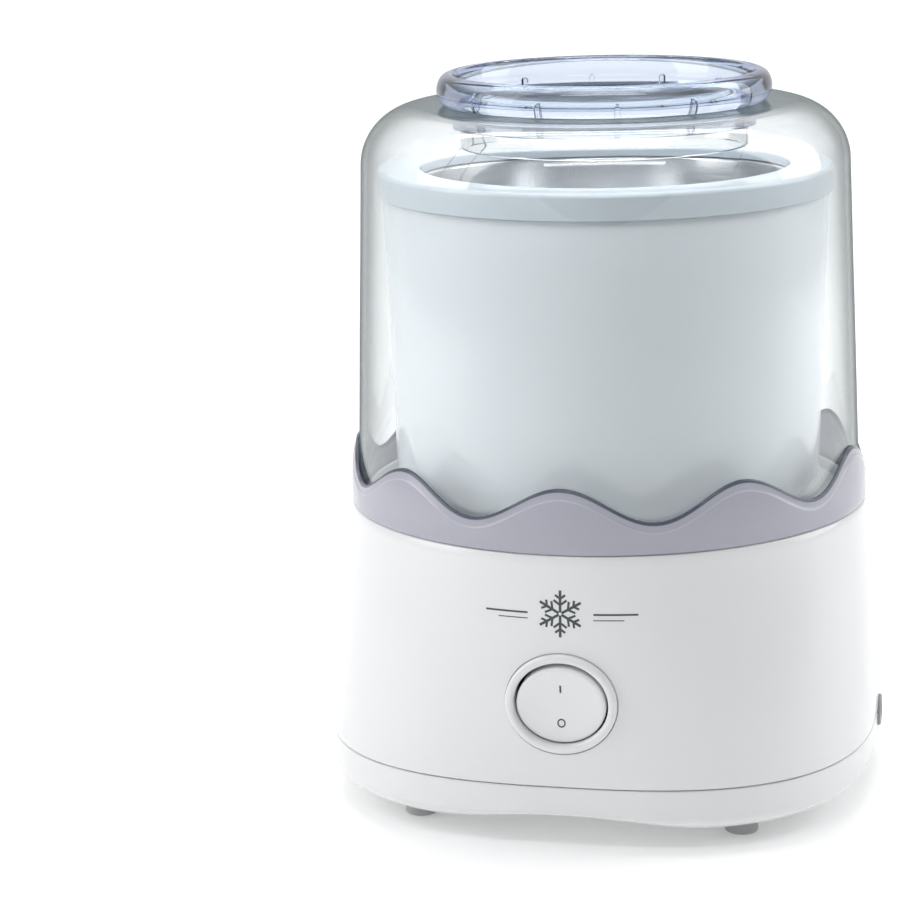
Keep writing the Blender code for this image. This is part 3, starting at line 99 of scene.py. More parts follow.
def loft(rows, closed=False):
    """Skin over rows of points; a row of one point closes the shape as a pole."""
    shape = bmesh.new()
    made = [[shape.verts.new(point) for point in row] for row in rows]
    pairs = list(zip(made, made[1:]))
    if closed:
        pairs.append((made[-1], made[0]))
    for low, high in pairs:
        count = max(len(low), len(high))
        for i in range(count):
            j = (i + 1) % count
            corners = (low[i % len(low)], low[j % len(low)], high[j % len(high)], high[i % len(high)])
            shape.faces.new(tuple(dict.fromkeys(corners)))
    bmesh.ops.recalc_face_normals(shape, faces=shape.faces)
    return shape


def lathe(profile, sides=144, closed=True):
    """Turned body from (radius, height) points; radius 0 closes it on the axis."""
    rows = [level_ring(radius, height, sides) if radius else [(0, 0, height)] for radius, height in profile]
    return loft(rows, closed and profile[0][0] != 0)


def bend(centre, radius, first, last, steps=8):
    """Points of an arc in (radius, height) space, angles in degrees."""
    turns = [math.radians(first + (last - first) * i / steps) for i in range(steps + 1)]
    return [(centre[0] + radius * math.cos(t), centre[1] + radius * math.sin(t)) for t in turns]


def as_object(name, shape, crease=32):
    mesh = bpy.data.meshes.new(name)
    shape.to_mesh(mesh)
    shape.free()
    mesh.shade_smooth()
    mesh.set_sharp_from_angle(angle=math.radians(crease))
    thing = bpy.data.objects.new(name, mesh)
    bpy.context.collection.objects.link(thing)
    return thing


def settle(thing, crease=32):
    """Turn what the modifiers make into the object's own plain mesh."""
    bpy.context.view_layer.update()
    made = bpy.data.meshes.new_from_object(thing.evaluated_get(bpy.context.evaluated_depsgraph_get()))
    thing.modifiers.clear()
    thing.data = made
    made.shade_smooth()
    made.set_sharp_from_angle(angle=math.radians(crease))


def combine(thing, tools, operation="DIFFERENCE"):
    """Boolean the tools into the object, then throw them away."""
    for tool in tools:
        step = thing.modifiers.new("combine", "BOOLEAN")
        step.operation = operation
        step.solver = "EXACT"
        step.object = tool
    settle(thing)
    for tool in tools:
        bpy.data.objects.remove(tool, do_unlink=True)


def fit(thing, material, body, *nodes):
    """Give the piece its finish, let it ride on its body and stand for its solids."""
    thing.data.materials.clear()
    thing.data.materials.append(material)
    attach(thing, body)
    if nodes:
        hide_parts(*nodes)


def tree_start(name, sizes):
    """A Geometry Nodes tree with a geometry input, named number inputs and a material input."""
    tree = bpy.data.node_groups.new(name, "GeometryNodeTree")
    tree.interface.new_socket("Geometry", in_out="INPUT", socket_type="NodeSocketGeometry")
    for label, kind, value in sizes:
        socket = tree.interface.new_socket(label, in_out="INPUT", socket_type=kind)
        socket.default_value = value
    tree.interface.new_socket("Material", in_out="INPUT", socket_type="NodeSocketMaterial")
    tree.interface.new_socket("Geometry", in_out="OUTPUT", socket_type="NodeSocketGeometry")
    return tree, tree.nodes.new("NodeGroupInput"), tree.nodes.new("NodeGroupOutput")


def tree_end(tree, entry, leave, last):
    """Realize the instances, set the material and leave the tree."""
    plain = tree.nodes.new("GeometryNodeRealizeInstances")
    finish = tree.nodes.new("GeometryNodeSetMaterial")
    tree.links.new(last, plain.inputs[0])
    tree.links.new(plain.outputs[0], finish.inputs["Geometry"])
    tree.links.new(entry.outputs["Material"], finish.inputs["Material"])
    tree.links.new(finish.outputs[0], leave.inputs[0])


def run_tree(thing, tree, values, crease=32):
    """Run a tree on an object; values are given by input name and set by identifier."""
    step = thing.modifiers.new(tree.name, "NODES")
    step.node_group = tree
    for item in tree.interface.items_tree:
        if item.in_out == "INPUT" and item.name in values:
            step[item.identifier] = values[item.name]
    settle(thing, crease)


def math_node(tree, operation, *values):
    """A Math node whose inputs are numbers or other nodes' outputs."""
    node = tree.nodes.new("ShaderNodeMath")
    node.operation = operation
    for socket, value in zip(node.inputs, values):
        if isinstance(value, (int, float)):
            socket.default_value = value
        else:
            tree.links.new(value, socket)
    return node.outputs[0]


# Straight row of copies along X, centred on the axis: used for the air slots.
slot_row, entry, leave = tree_start(
    "Straight row", (("Count", "NodeSocketInt", 7), ("Pitch", "NodeSocketFloat", 0.0075)))
points = slot_row.nodes.new("GeometryNodePoints")
copies = slot_row.nodes.new("GeometryNodeInstanceOnPoints")
where = slot_row.nodes.new("ShaderNodeCombineXYZ")
index = slot_row.nodes.new("GeometryNodeInputIndex")
middle = math_node(slot_row, "MULTIPLY", math_node(slot_row, "SUBTRACT", entry.outputs["Count"], 1), 0.5)
from_middle = math_node(slot_row, "SUBTRACT", index.outputs[0], middle)
along = math_node(slot_row, "MULTIPLY", from_middle, entry.outputs["Pitch"])
slot_row.links.new(entry.outputs["Count"], points.inputs["Count"])
slot_row.links.new(along, where.inputs["X"])
slot_row.links.new(where.outputs[0], points.inputs["Position"])
slot_row.links.new(points.outputs[0], copies.inputs["Points"])
slot_row.links.new(entry.outputs["Geometry"], copies.inputs["Instance"])
tree_end(slot_row, entry, leave, copies.outputs[0])

# Four copies at the corners of a rectangle round the axis: feet, screws, posts and holes.
four_corners, entry, leave = tree_start(
    "Four corners", (("Half Width", "NodeSocketFloat", 0.08), ("Half Depth", "NodeSocketFloat", 0.05)))
grid = four_corners.nodes.new("GeometryNodeMeshGrid")
copies = four_corners.nodes.new("GeometryNodeInstanceOnPoints")
grid.inputs["Vertices X"].default_value = 2
grid.inputs["Vertices Y"].default_value = 2
four_corners.links.new(math_node(four_corners, "MULTIPLY", entry.outputs["Half Width"], 2), grid.inputs["Size X"])
four_corners.links.new(math_node(four_corners, "MULTIPLY", entry.outputs["Half Depth"], 2), grid.inputs["Size Y"])
four_corners.links.new(grid.outputs["Mesh"], copies.inputs["Points"])
four_corners.links.new(entry.outputs["Geometry"], copies.inputs["Instance"])
tree_end(four_corners, entry, leave, copies.outputs[0])


def blend_colour(tree, factor, low, high):
    """Mix from one colour to another; the first may be another node's output."""
    mix = tree.nodes.new("ShaderNodeMix")
    mix.data_type = "RGBA"
    tree.links.new(factor, mix.inputs["Factor"])
    if isinstance(low, tuple):
        mix.inputs["A"].default_value = (*low, 1)
    else:
        tree.links.new(low, mix.inputs["A"])
    mix.inputs["B"].default_value = (*high, 1)
    return mix.outputs["Result"]


def noise(tree, place, scale, detail=3.0, stretch=(1, 1, 1)):
    """Noise on the object's own coordinates, in cells per metre, stretched along each axis."""
    stretched = tree.nodes.new("ShaderNodeMapping")
    stretched.inputs["Scale"].default_value = stretch
    cloud = tree.nodes.new("ShaderNodeTexNoise")
    cloud.inputs["Scale"].default_value = scale
    cloud.inputs["Detail"].default_value = detail
    tree.links.new(place, stretched.inputs["Vector"])
    tree.links.new(stretched.outputs[0], cloud.inputs["Vector"])
    return cloud.outputs["Fac"]


def spread(tree, value, low, high):
    """Map a noise, which keeps to about 0.3 to 0.7, on to a range."""
    node = tree.nodes.new("ShaderNodeMapRange")
    node.inputs["From Min"].default_value = 0.3
    node.inputs["From Max"].default_value = 0.7
    node.inputs["To Min"].default_value = low
    node.inputs["To Max"].default_value = high
    tree.links.new(value, node.inputs["Value"])
    return node.outputs[0]


def plain_finish(name, colour, settings):
    """A material with its shader's settings, and the object's own coordinates in it."""
    material = bpy.data.materials.new(name)
    material.use_nodes = True
    material.diffuse_color = (*colour, 1)
    tree = material.node_tree
    shader = tree.nodes["Principled BSDF"]
    for label, value in settings.items():
        shader.inputs[label.replace("_", " ")].default_value = value
    return material, tree, shader, tree.nodes.new("ShaderNodeTexCoord").outputs["Object"]


def fine_skin(tree, shader, height, strength, distance):
    """Roughen the surface by a height, over a distance in metres."""
    bump = tree.nodes.new("ShaderNodeBump")
    bump.inputs["Strength"].default_value = strength
    bump.inputs["Distance"].default_value = distance
    tree.links.new(height, bump.inputs["Height"])
    tree.links.new(bump.outputs[0], shader.inputs["Normal"])


def moulded(name, colour, tint, rough, grain=900.0, depth=0.02, **settings):
    """Moulded plastic or rubber: cloudy colour, patchy gloss and a fine skin."""
    material, tree, shader, place = plain_finish(name, colour, settings)
    tree.links.new(blend_colour(tree, noise(tree, place, 14), colour, tint), shader.inputs["Base Color"])
    tree.links.new(spread(tree, noise(tree, place, 45), *rough), shader.inputs["Roughness"])
    fine_skin(tree, shader, noise(tree, place, grain, 2.0), depth, 0.0004)
    return material


white_gloss = moulded("white_gloss_plastic", (0.79, 0.795, 0.80), (0.81, 0.815, 0.82), (0.13, 0.19), 520.0, 0.04)
sides = 240
edge_height = 9.6 * MM
edge_steps = 10
flat_inset = 15.6
arch_tuck = 20.7


def between_feet(angle):
    """1 at the middle of each side, where the cover arches up, and 0 over the feet."""
    return ((1 + math.cos(4 * angle)) / 2) ** 2


def eased(t, first, pull, last):
    """A curve from the first value to the last, pulled towards the middle one."""
    return (1 - t) ** 2 * first + 2 * t * (1 - t) * pull + t * t * last


edge_rows = []
for share in range(edge_steps + 1):
    t = share / edge_steps
    row = []
    for a in around(sides):
        middle = between_feet(a)
        rise = eased(t, 1 + 0.06 * middle, 0.5 + 0.375 * middle, 0.69 * middle)
        row.append((a, cover_floor + edge_height * rise, eased(t, 0.35, -1.18, 13.6) * MM))
    edge_rows.append(row)
edge_rows.append([(a, cover_floor, (flat_inset + arch_tuck * between_feet(a)) * MM) for a in around(sides)])


def cover_row(row, inward=0.0, lift=0.0):
    return [skin_point(a, seam_height, inset + inward, z + lift) for a, z, inset in row]


def seam_row(lift, inset):
    return [skin_point(a, seam_height, inset, seam_height + lift) for a in around(sides)]


def on_wall(angle, z):
    return Vector(skin_point(angle, z, 0.0, z))


rows = [[(0, 0, cover_floor)]] + [cover_row(row) for row in edge_rows[::-1]]
rows += [seam_row(-0.9 * MM, 0.0), seam_row(-0.35 * MM, 0.12 * MM), seam_row(-0.05 * MM, 0.5 * MM)]
rows += [seam_row(-0.05 * MM, cover_wall)]
rows += [cover_row(row, cover_wall, cover_wall * min(1, 0.5 + k / 20)) for k, row in enumerate(edge_rows)]
rows += [[(0, 0, cover_floor + cover_wall)]]
cover = as_object("bottom_cover_shell", loft(rows))
cover_top = 3 * cover_floor


def rounded_slot(width, length, low, high):
    """An upright slot with round ends, along Y."""
    end = length / 2 - width / 2
    outline = []
    for a in around(24):
        outline.append((width / 2 * math.cos(a), width / 2 * math.sin(a) + math.copysign(end, math.sin(a) + 1e-9)))
    rings = [[(x, y, z) for x, y in outline] for z in (low, high)]
    return loft([[(0, 0, low)]] + rings + [[(0, 0, high)]])


slots = as_object("air_slot_cutter", rounded_slot(3.2 * MM, 34 * MM, 0, cover_top))
run_tree(slots, slot_row, {"Count": 7, "Pitch": 7.5 * MM})
seats = as_object("screw_seat_cutter", lathe(
    mm((0, 0), (3.5, 0), (3.5, 6.0), (1.8, 7.6)) + [(1.8 * MM, cover_top), (0, cover_top)], 32))
run_tree(seats, four_corners, {"Half Width": screw_x, "Half Depth": screw_y})
stems = as_object("foot_hole_cutter", lathe([(0, 0), (2.7 * MM, 0), (2.7 * MM, cover_top), (0, cover_top)], 32))
run_tree(stems, four_corners, {"Half Width": rubber_foot_x, "Half Depth": rubber_foot_y})
inlet_angle = min((k / 4000 for k in range(-800, 800)), key=lambda a: abs(on_wall(a, inlet_height).y - inlet_y))
inlet_at = on_wall(inlet_angle, inlet_height)
sideways = (on_wall(inlet_angle + 0.02, inlet_height) - inlet_at).normalized()
outward = Vector((sideways.y, -sideways.x, 0))
inlet_place = Matrix.Translation(inlet_at) @ outward.to_track_quat("Z", "Y").to_matrix().to_4x4()


def inlet_hole():
    hole = lathe(mm((0, -20), (6.7, -20), (6.7, 20), (0, 20)), 64)
    hole.transform(inlet_place)
    return as_object("inlet_hole", hole)


combine(cover, [slots, seats, stems, inlet_hole()])
fit(cover, white_gloss, "base", "bottom_cover")

# ---------------------------------------------------------------- feet
# Four soft rubber pads that keep the machine from walking. Each is moulded in one piece with a
# stem that is pushed through the cover and a barb that holds it.
foot_rubber = moulded("grey_foot_rubber", (0.42, 0.43, 0.43), (0.48, 0.49, 0.49), (0.62, 0.80), 1600.0, 0.25)
foot_profile = mm((0, 0), (4.9, 0)) + bend((5.4 * MM, 1.1 * MM), 1.1 * MM, -90, 0, 5)
foot_profile += mm((6.4, 3.2), (6.1, 5.3), (2.4, 5.3), (2.4, 8.1), (3.3, 8.1), (1.6, 10.5), (0, 10.5))
feet = as_object("rubber_feet", lathe(foot_profile, 48))
run_tree(feet, four_corners, {"Half Width": rubber_foot_x, "Half Depth": rubber_foot_y, "Material": foot_rubber})
fit(feet, foot_rubber, "base", "foot_front_left", "foot_front_right", "foot_rear_left", "foot_rear_right")

# ---------------------------------------------------------------- cover screws
# Four countersunk steel screws with a cross recess, zinc plated. They are driven up through the
# cover into the posts of the housing.


def metal(name, colour, tint, rough, stretch=(1, 1, 1), scale=240.0, depth=0.06):
    """Bare metal with faint marks drawn out along one way and uneven polish."""
    material, tree, shader, place = plain_finish(name, colour, {"Metallic": 1.0})
    marks = noise(tree, place, scale, 4.0, stretch)
    tree.links.new(blend_colour(tree, marks, colour, tint), shader.inputs["Base Color"])
    tree.links.new(spread(tree, noise(tree, place, 70, 3.0, stretch), *rough), shader.inputs["Roughness"])
    fine_skin(tree, shader, marks, depth, 0.0002)
    return material


def block(size, centre, turn=0.0):
    """A box, turned about the upright axis and then put in place."""
    shape = bmesh.new()
    bmesh.ops.create_cube(shape, size=1)
    bmesh.ops.scale(shape, verts=shape.verts, vec=size)
    bmesh.ops.rotate(shape, verts=shape.verts, matrix=Matrix.Rotation(turn, 3, "Z"))
    bmesh.ops.translate(shape, verts=shape.verts, vec=centre)
    return shape


zinc = metal("zinc_plated_steel", (0.60, 0.61, 0.62), (0.68, 0.67, 0.62), (0.24, 0.36), scale=420.0)
head = cover_floor + 0.2 * MM
screw_profile = mm((0, 0), (3.05, 0), (3.2, 0.15), (1.5, 2), (1.5, 14), (0.75, 14.8), (0, 14.8))
screw = as_object("cover_screws", lathe([(radius, head + along) for radius, along in screw_profile], 32))
recess_size = (3.6 * MM, 0.75 * MM, 1.8 * MM)
combine(screw, [as_object("recess_cutter", block(recess_size, (0, 0, head + 0.3 * MM), turn))
                for turn in (0, math.pi / 2)])
run_tree(screw, four_corners, {"Half Width": screw_x, "Half Depth": screw_y, "Material": zinc})
fit(screw, zinc, "base", "cover_screw_1", "cover_screw_2", "cover_screw_3", "cover_screw_4")

# ---------------------------------------------------------------- motor and gear box
# A shaded-pole motor of stacked steel sheets with one taped copper winding, screwed under a closed
# gear case. Three pairs of moulded spur gears take its speed down to the slow turn of the bowl.
# All of it sits inside the housing; each solid keeps its shape and gets the finish of its part.


def ridged(material, way, pitch, waviness):
    """Lay even ridges one pitch apart across a finish, in place of its fine skin."""
    length_at_scale_one = 0.314
    tree = material.node_tree
    ridges = tree.nodes.new("ShaderNodeTexWave")
    ridges.bands_direction = way
    ridges.inputs["Scale"].default_value = length_at_scale_one / pitch
    ridges.inputs["Distortion"].default_value = waviness
    tree.links.new(tree.nodes.new("ShaderNodeTexCoord").outputs["Object"], ridges.inputs["Vector"])
    bump = next(node for node in tree.nodes if node.type == "BUMP")
    tree.links.new(ridges.outputs["Fac"], bump.inputs["Height"])
    return material


ground_steel = metal("ground_steel", (0.58, 0.58, 0.59), (0.66, 0.66, 0.67), (0.14, 0.24), (1, 1, 12), 160.0)
stamped = metal("stacked_sheet_steel", (0.25, 0.25, 0.26), (0.36, 0.36, 0.36), (0.38, 0.55), scale=300.0, depth=0.5)
stacked_steel = ridged(stamped, "Z", 0.5 * MM, 0.4)
bronze = metal("sintered_bronze", (0.62, 0.44, 0.22), (0.70, 0.52, 0.28), (0.34, 0.50), scale=1400.0, depth=0.2)
brass = metal("tinned_brass", (0.72, 0.64, 0.42), (0.80, 0.72, 0.50), (0.22, 0.34), (1, 8, 1))
varnished = moulded("varnished_winding_tape", (0.42, 0.16, 0.06), (0.55, 0.24, 0.09), (0.30, 0.48), 500.0, 0.3)
copper_tape = ridged(varnished, "X", 1.2 * MM, 1.2)
case_grey = moulded("glass_filled_grey", (0.055, 0.058, 0.062), (0.085, 0.088, 0.092), (0.48, 0.66), 1200.0, 0.35)
acetal = moulded("natural_acetal", (0.78, 0.77, 0.71), (0.83, 0.82, 0.77), (0.30, 0.42), 800.0, 0.06,
                 Subsurface_Weight=0.12, Subsurface_Scale=0.004)
fan_plastic = moulded("fan_plastic", (0.62, 0.62, 0.58), (0.70, 0.69, 0.65), (0.38, 0.52), 700.0, 0.1)
frozen_gel = moulded("frozen_gel", (0.42, 0.60, 0.80), (0.70, 0.82, 0.92), (0.18, 0.42), 160.0, 0.5,
                     Subsurface_Weight=0.3, Subsurface_Scale=0.01)
black_plastic = moulded("black_switch_plastic", (0.022, 0.022, 0.024), (0.036, 0.036, 0.038), (0.36, 0.50),
                        900.0, 0.15)
black_seal = moulded("black_seal_rubber", (0.028, 0.028, 0.030), (0.045, 0.045, 0.048), (0.55, 0.72), 1300.0, 0.2)
hub_plastic = moulded("grey_hub_acetal", (0.55, 0.56, 0.58), (0.62, 0.63, 0.65), (0.28, 0.40), 800.0, 0.06)
kept = {
    ground_steel: ("rocker_pin", "first_axle", "second_axle", "output_shaft", "rotor_shaft"),
    zinc: ("gear_case_screw_1", "gear_case_screw_2", "gear_case_screw_3", "gear_case_screw_4", "motor_screw_1",
           "motor_screw_2", "motor_spacer_1", "motor_spacer_2", "motor_lower_bracket", "motor_upper_bracket"),
    stacked_steel: ("motor_stator", "rotor_core"),
    bronze: ("upper_shaft_bush", "lower_shaft_bush", "motor_lower_bearing", "motor_upper_bearing", "motor_pinion"),
    brass: ("switch_terminal_1", "switch_terminal_2"),
    copper_tape: ("motor_coil",),
    case_grey: ("gear_case", "gear_case_plate", "cord_inlet_nut"),
    acetal: ("output_gear", "second_gear", "first_gear"),
    fan_plastic: ("cooling_fan",),
    frozen_gel: ("coolant_charge",),
    black_plastic: ("switch_body",),
    black_seal: ("bowl_seal", "bowl_fill_plug"),
    hub_plastic: ("drive_hub",),
}
for material, names in kept.items():
    for name in names:
        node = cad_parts[name]
        node.data.materials.clear()
        node.data.materials.append(material)

# ---------------------------------------------------------------- base housing
# The white body of the machine, one gloss moulding: a round deck that swells into a rounded
# square at the foot. Posts inside take the cover's screws and bosses hang the gear case. The
# wall is cut through for the switch and for the mains inlet.
wall = 2.4 * MM
gap = 0.3 * MM
deck_edge = 1.2 * MM
boss_low = 105.7 * MM
boss_top = deck_top - 1 * MM
upstand_top = deck_top + 4.5 * MM
switch_height = 59 * MM


def wall_row(level, inset, low_lift=0.0):
    """A row up the wall: level 0 is the seam and 1 is the deck's edge."""
    bottom = seam_height + gap + low_lift
    z = bottom + (deck_top - deck_edge - bottom) * level
    return [skin_point(a, z, inset, z) for a in around(sides)]


rows = [seam_row(gap + 0.05 * MM, 0.5 * MM), seam_row(gap + 0.3 * MM, 0.12 * MM)]
rows += [wall_row(k / 30, 0.0, 0.8 * MM) for k in range(31)]
deck = bend((deck_radius - deck_edge, deck_top - deck_edge), deck_edge, 15, 90, 5)
deck += [(98.2 * MM, deck_top), (98.2 * MM, deck_top + 4.1 * MM), (97.8 * MM, upstand_top), (97.0 * MM, upstand_top),
         (96.6 * MM, deck_top + 4.1 * MM), (96.6 * MM, deck_top), (60 * MM, deck_top), (8.3 * MM, deck_top),
         (8.0 * MM, deck_top - 0.3 * MM), (8.0 * MM, boss_low), (11.0 * MM, boss_low), (11.0 * MM, deck_top - wall)]
rows += [level_ring(r, z, sides) for r, z in deck]
rows += [wall_row(1 - k / 8, wall) for k in range(1, 9)]
housing = as_object("base_housing_shell", loft(rows, closed=True))
posts = as_object("cover_screw_post", lathe(
    mm((1.8, 8.1), (4.2, 8.1)) + [(4.6 * MM, boss_top), (1.8 * MM, boss_top)], 32))
run_tree(posts, four_corners, {"Half Width": screw_x, "Half Depth": screw_y})
bosses = []
for k in range(1, 5):
    low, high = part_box(f"gear_case_screw_{k}")
    boss = lathe([(1.8 * MM, boss_low), (4.2 * MM, boss_low), (4.2 * MM, boss_top), (1.8 * MM, boss_top)], 32)
    bmesh.ops.translate(boss, verts=boss.verts, vec=((low[0] + high[0]) / 2, (low[1] + high[1]) / 2, 0))
    bosses.append(as_object("gear_case_boss", boss))


def oval_plug(half_width, half_height, front, back, rounds=96):
    """An upright oval bar whose axis is level, from front to back along Y."""
    rings = [[(half_width * math.cos(a), y, half_height * math.sin(a)) for a in around(rounds)] for y in (front, back)]
    shape = loft([[(0, front, 0)]] + rings + [[(0, back, 0)]])
    bmesh.ops.translate(shape, verts=shape.verts, vec=(0, 0, switch_height))
    return shape


front_wall = -base_reach(-math.pi / 2, switch_height)
combine(housing, [as_object("switch_hole", oval_plug(21.8 * MM, 19.8 * MM, -0.15, -0.08)), inlet_hole()])
combine(housing, [posts] + bosses, "UNION")
fit(housing, white_gloss, "base", "base_housing")

# ---------------------------------------------------------------- switch
# A big oval rocker in an oval frame of the same white plastic, snapped into the front wall. The
# rocker rocks on a steel pin, has a shallow dish for the thumb, and rests with its lower half in.
rounds = 120


def oval_row(width, height, depth, front):
    """Oval ring standing in the front wall; depth is measured out from the frame's face."""
    return [(width * math.cos(a), front - depth, height * math.sin(a) + switch_height) for a in around(rounds)]


bezel_proud = 1.6 * MM
bezel_front = front_wall - bezel_proud
outside = (21.5 * MM, 19.5 * MM)
hole = (18.1 * MM, 16.1 * MM)
section = [(hole, 0.0, -13.0), (hole, 0.0, -1.6), (hole, 0.2, -0.8), (hole, 0.55, -0.25), (hole, 1.05, 0.0),
           (outside, -1.5, 0.0), (outside, -0.75, -0.2), (outside, -0.25, -0.65), (outside, 0.0, -1.3),
           (outside, 0.0, -13.0)]
rows = [oval_row(size[0] + grow * MM, size[1] + grow * MM, depth * MM, bezel_front) for size, grow, depth in section]
bezel = as_object("switch_frame", loft(rows, closed=True))
fit(bezel, white_gloss, "base", "switch_bezel")

rocker_half = (17.2 * MM, 15.2 * MM)
rocker_face = -6 * MM
pivot = Vector((0, front_wall - bezel_proud * 0.2 - rocker_face, switch_height))
dish_edge = 0.93


def dish(share):
    """How far the thumb dish lies behind the rocker's face at this share of its radius."""
    return 0.85 * MM * max(0.0, 1 - (share / dish_edge) ** 2) ** 1.3


def rocker_row(share, y):
    return [(rocker_half[0] * share * math.cos(a), y, rocker_half[1] * share * math.sin(a)) for a in around(rounds)]


section = [(1.0, -8.0), (1.0, -1.3), (0.995, -0.75), (0.98, -0.3), (0.955, -0.05), (dish_edge, 0.0)]
rows = [[(0, rocker_face + 8 * MM, 0)]] + [rocker_row(share, rocker_face - depth * MM) for share, depth in section]
dish_shares = [dish_edge * (1 - k / 12) for k in range(1, 12)]
rows += [rocker_row(share, rocker_face + dish(share)) for share in dish_shares] + [[(0, rocker_face + dish(0), 0)]]
cap = loft(rows)
rest_tilt = Matrix.Translation(pivot) @ Matrix.Rotation(math.radians(6), 4, "X")
cap.transform(rest_tilt)
bore = lathe(mm((0, -30), (1.5, -30), (1.5, 30), (0, 30)), 32)
bore.transform(Matrix.Translation(pivot) @ Matrix.Rotation(math.pi / 2, 4, "Y"))
rocker = as_object("switch_rocker_cap", cap)
combine(rocker, [as_object("rocker_bore", bore)])
rocker_white = moulded("rocker_white_plastic", (0.80, 0.81, 0.82), (0.84, 0.845, 0.85), (0.10, 0.17), 600.0, 0.04)
fit(rocker, rocker_white, "rocker", "switch_rocker")

# ---------------------------------------------------------------- printed marks
# Marks pad-printed in dark grey ink: an upright stroke and a ring on the rocker for on and off,
# and on the front wall a plain snow crystal between two fine rules. The ink lies 0.05 mm proud.
ink = moulded("dark_grey_ink", (0.055, 0.065, 0.070), (0.080, 0.090, 0.095), (0.40, 0.55), 2400.0, 0.2)
ink_proud = 0.05 * MM
print_height = 94 * MM


def strip(x0, z0, x1, z1, width, step=1.2 * MM):
    """A flat stroke in the XZ plane, split along its length so that it can follow a curved wall."""
    run = Vector((x1 - x0, 0, z1 - z0))
    count = max(1, math.ceil(run.length / step))
    side = Vector((-run.z, 0, run.x)).normalized() * width / 2
    shape = bmesh.new()
    rows = []
    for k in range(count + 1):
        at = Vector((x0, 0, z0)) + run * (k / count)
        rows.append([shape.verts.new(at + side), shape.verts.new(at - side)])
    for low, high in zip(rows, rows[1:]):
        shape.faces.new((low[0], low[1], high[1], high[0]))
    return shape


def thicken(thing):
    """Give a flat print the thickness of its ink."""
    film = thing.modifiers.new("ink", "SOLIDIFY")
    film.thickness = ink_proud * 0.6
    film.offset = 0
    settle(thing)


def lay_on_wall(thing, height):
    """Drop a flat print on to the front wall and give the ink its thickness."""
    for vertex in thing.data.vertices:
        x, z = vertex.co.x, vertex.co.z + height
        a = -math.pi / 2
        for _ in range(12):
            a = -math.acos(min(1.0, max(-1.0, x / base_reach(a, z))))
        vertex.co = (x, base_reach(a, z) * math.sin(a) - ink_proud, z)
    thicken(thing)
    shape = bmesh.new()
    shape.from_mesh(thing.data)
    bmesh.ops.recalc_face_normals(shape, faces=shape.faces)
    shape.to_mesh(thing.data)
    shape.free()


def turned_copies(name, axis):
    """A tree that turns copies about an axis by equal steps: arms of the crystal, keys and ribs."""
    tree, entry, leave = tree_start(name, (("Count", "NodeSocketInt", 6), ("Start", "NodeSocketFloat", 0.0)))
    points = tree.nodes.new("GeometryNodePoints")
    copies = tree.nodes.new("GeometryNodeInstanceOnPoints")
    index = tree.nodes.new("GeometryNodeInputIndex")
    euler = tree.nodes.new("ShaderNodeCombineXYZ")
    to_turn = tree.nodes.new("FunctionNodeEulerToRotation")
    one_step = math_node(tree, "DIVIDE", math.tau, entry.outputs["Count"])
    turned = math_node(tree, "MULTIPLY", index.outputs[0], one_step)
    tree.links.new(math_node(tree, "ADD", turned, entry.outputs["Start"]), euler.inputs[axis])
    tree.links.new(euler.outputs[0], to_turn.inputs[0])
    tree.links.new(entry.outputs["Count"], points.inputs["Count"])
    tree.links.new(points.outputs[0], copies.inputs["Points"])
    tree.links.new(entry.outputs["Geometry"], copies.inputs["Instance"])
    tree.links.new(to_turn.outputs[0], copies.inputs["Rotation"])
    tree_end(tree, entry, leave, copies.outputs[0])
    return tree


def join(shapes):
    whole = bmesh.new()
    for shape in shapes:
        mesh = bpy.data.meshes.new("part")
        shape.to_mesh(mesh)
        shape.free()
        whole.from_mesh(mesh)
        bpy.data.meshes.remove(mesh)
    return whole


arm_strokes = [strip(0, 0.6 * MM, 0, 9.0 * MM, 1.0 * MM)]
for up, reach in ((3.4 * MM, 3.0 * MM), (5.8 * MM, 2.3 * MM)):
    for side in (-1, 1):
        arm_strokes.append(strip(0, up, side * reach * 0.83, up + reach * 0.62, 0.85 * MM))
crystal = as_object("printed_snow_crystal", join(arm_strokes))
run_tree(crystal, turned_copies("Arms of a crystal", "Y"), {"Count": 6, "Material": ink})
lay_on_wall(crystal, print_height)
fit(crystal, ink, "base")
rules = [strip(side * 12.5 * MM, 0, side * 29 * MM, 0, 0.7 * MM) for side in (-1, 1)]
rules += [strip(side * 12.5 * MM, -2.2 * MM, side * 24 * MM, -2.2 * MM, 0.35 * MM) for side in (-1, 1)]
rule = as_object("printed_rules", join(rules))
lay_on_wall(rule, print_height)
fit(rule, ink, "base")


def ring_stroke(radius, width, x_scale=1.0, turns=40):
    """A flat ring in the XZ plane."""
    shape = bmesh.new()
    inner, outer = [[shape.verts.new((r * x_scale * math.cos(a), 0, r * math.sin(a))) for a in around(turns)]
                    for r in (radius - width / 2, radius + width / 2)]
    for k in range(turns):
        j = (k + 1) % turns
        shape.faces.new((inner[k], inner[j], outer[j], outer[k]))
    return shape


mark = join([strip(0, 5.2 * MM, 0, 8.2 * MM, 0.7 * MM)])
off = ring_stroke(1.5 * MM, 0.6 * MM, 0.9)
bmesh.ops.translate(off, verts=off.verts, vec=(0, 0, -7.2 * MM))
marks = as_object("printed_switch_marks", join([mark, off]))
for vertex in marks.data.vertices:
    share = math.hypot(vertex.co.x / rocker_half[0], vertex.co.z / rocker_half[1])
    vertex.co.y = rocker_face + dish(share) - ink_proud
thicken(marks)
marks.data.transform(rest_tilt)
fit(marks, ink, "rocker")

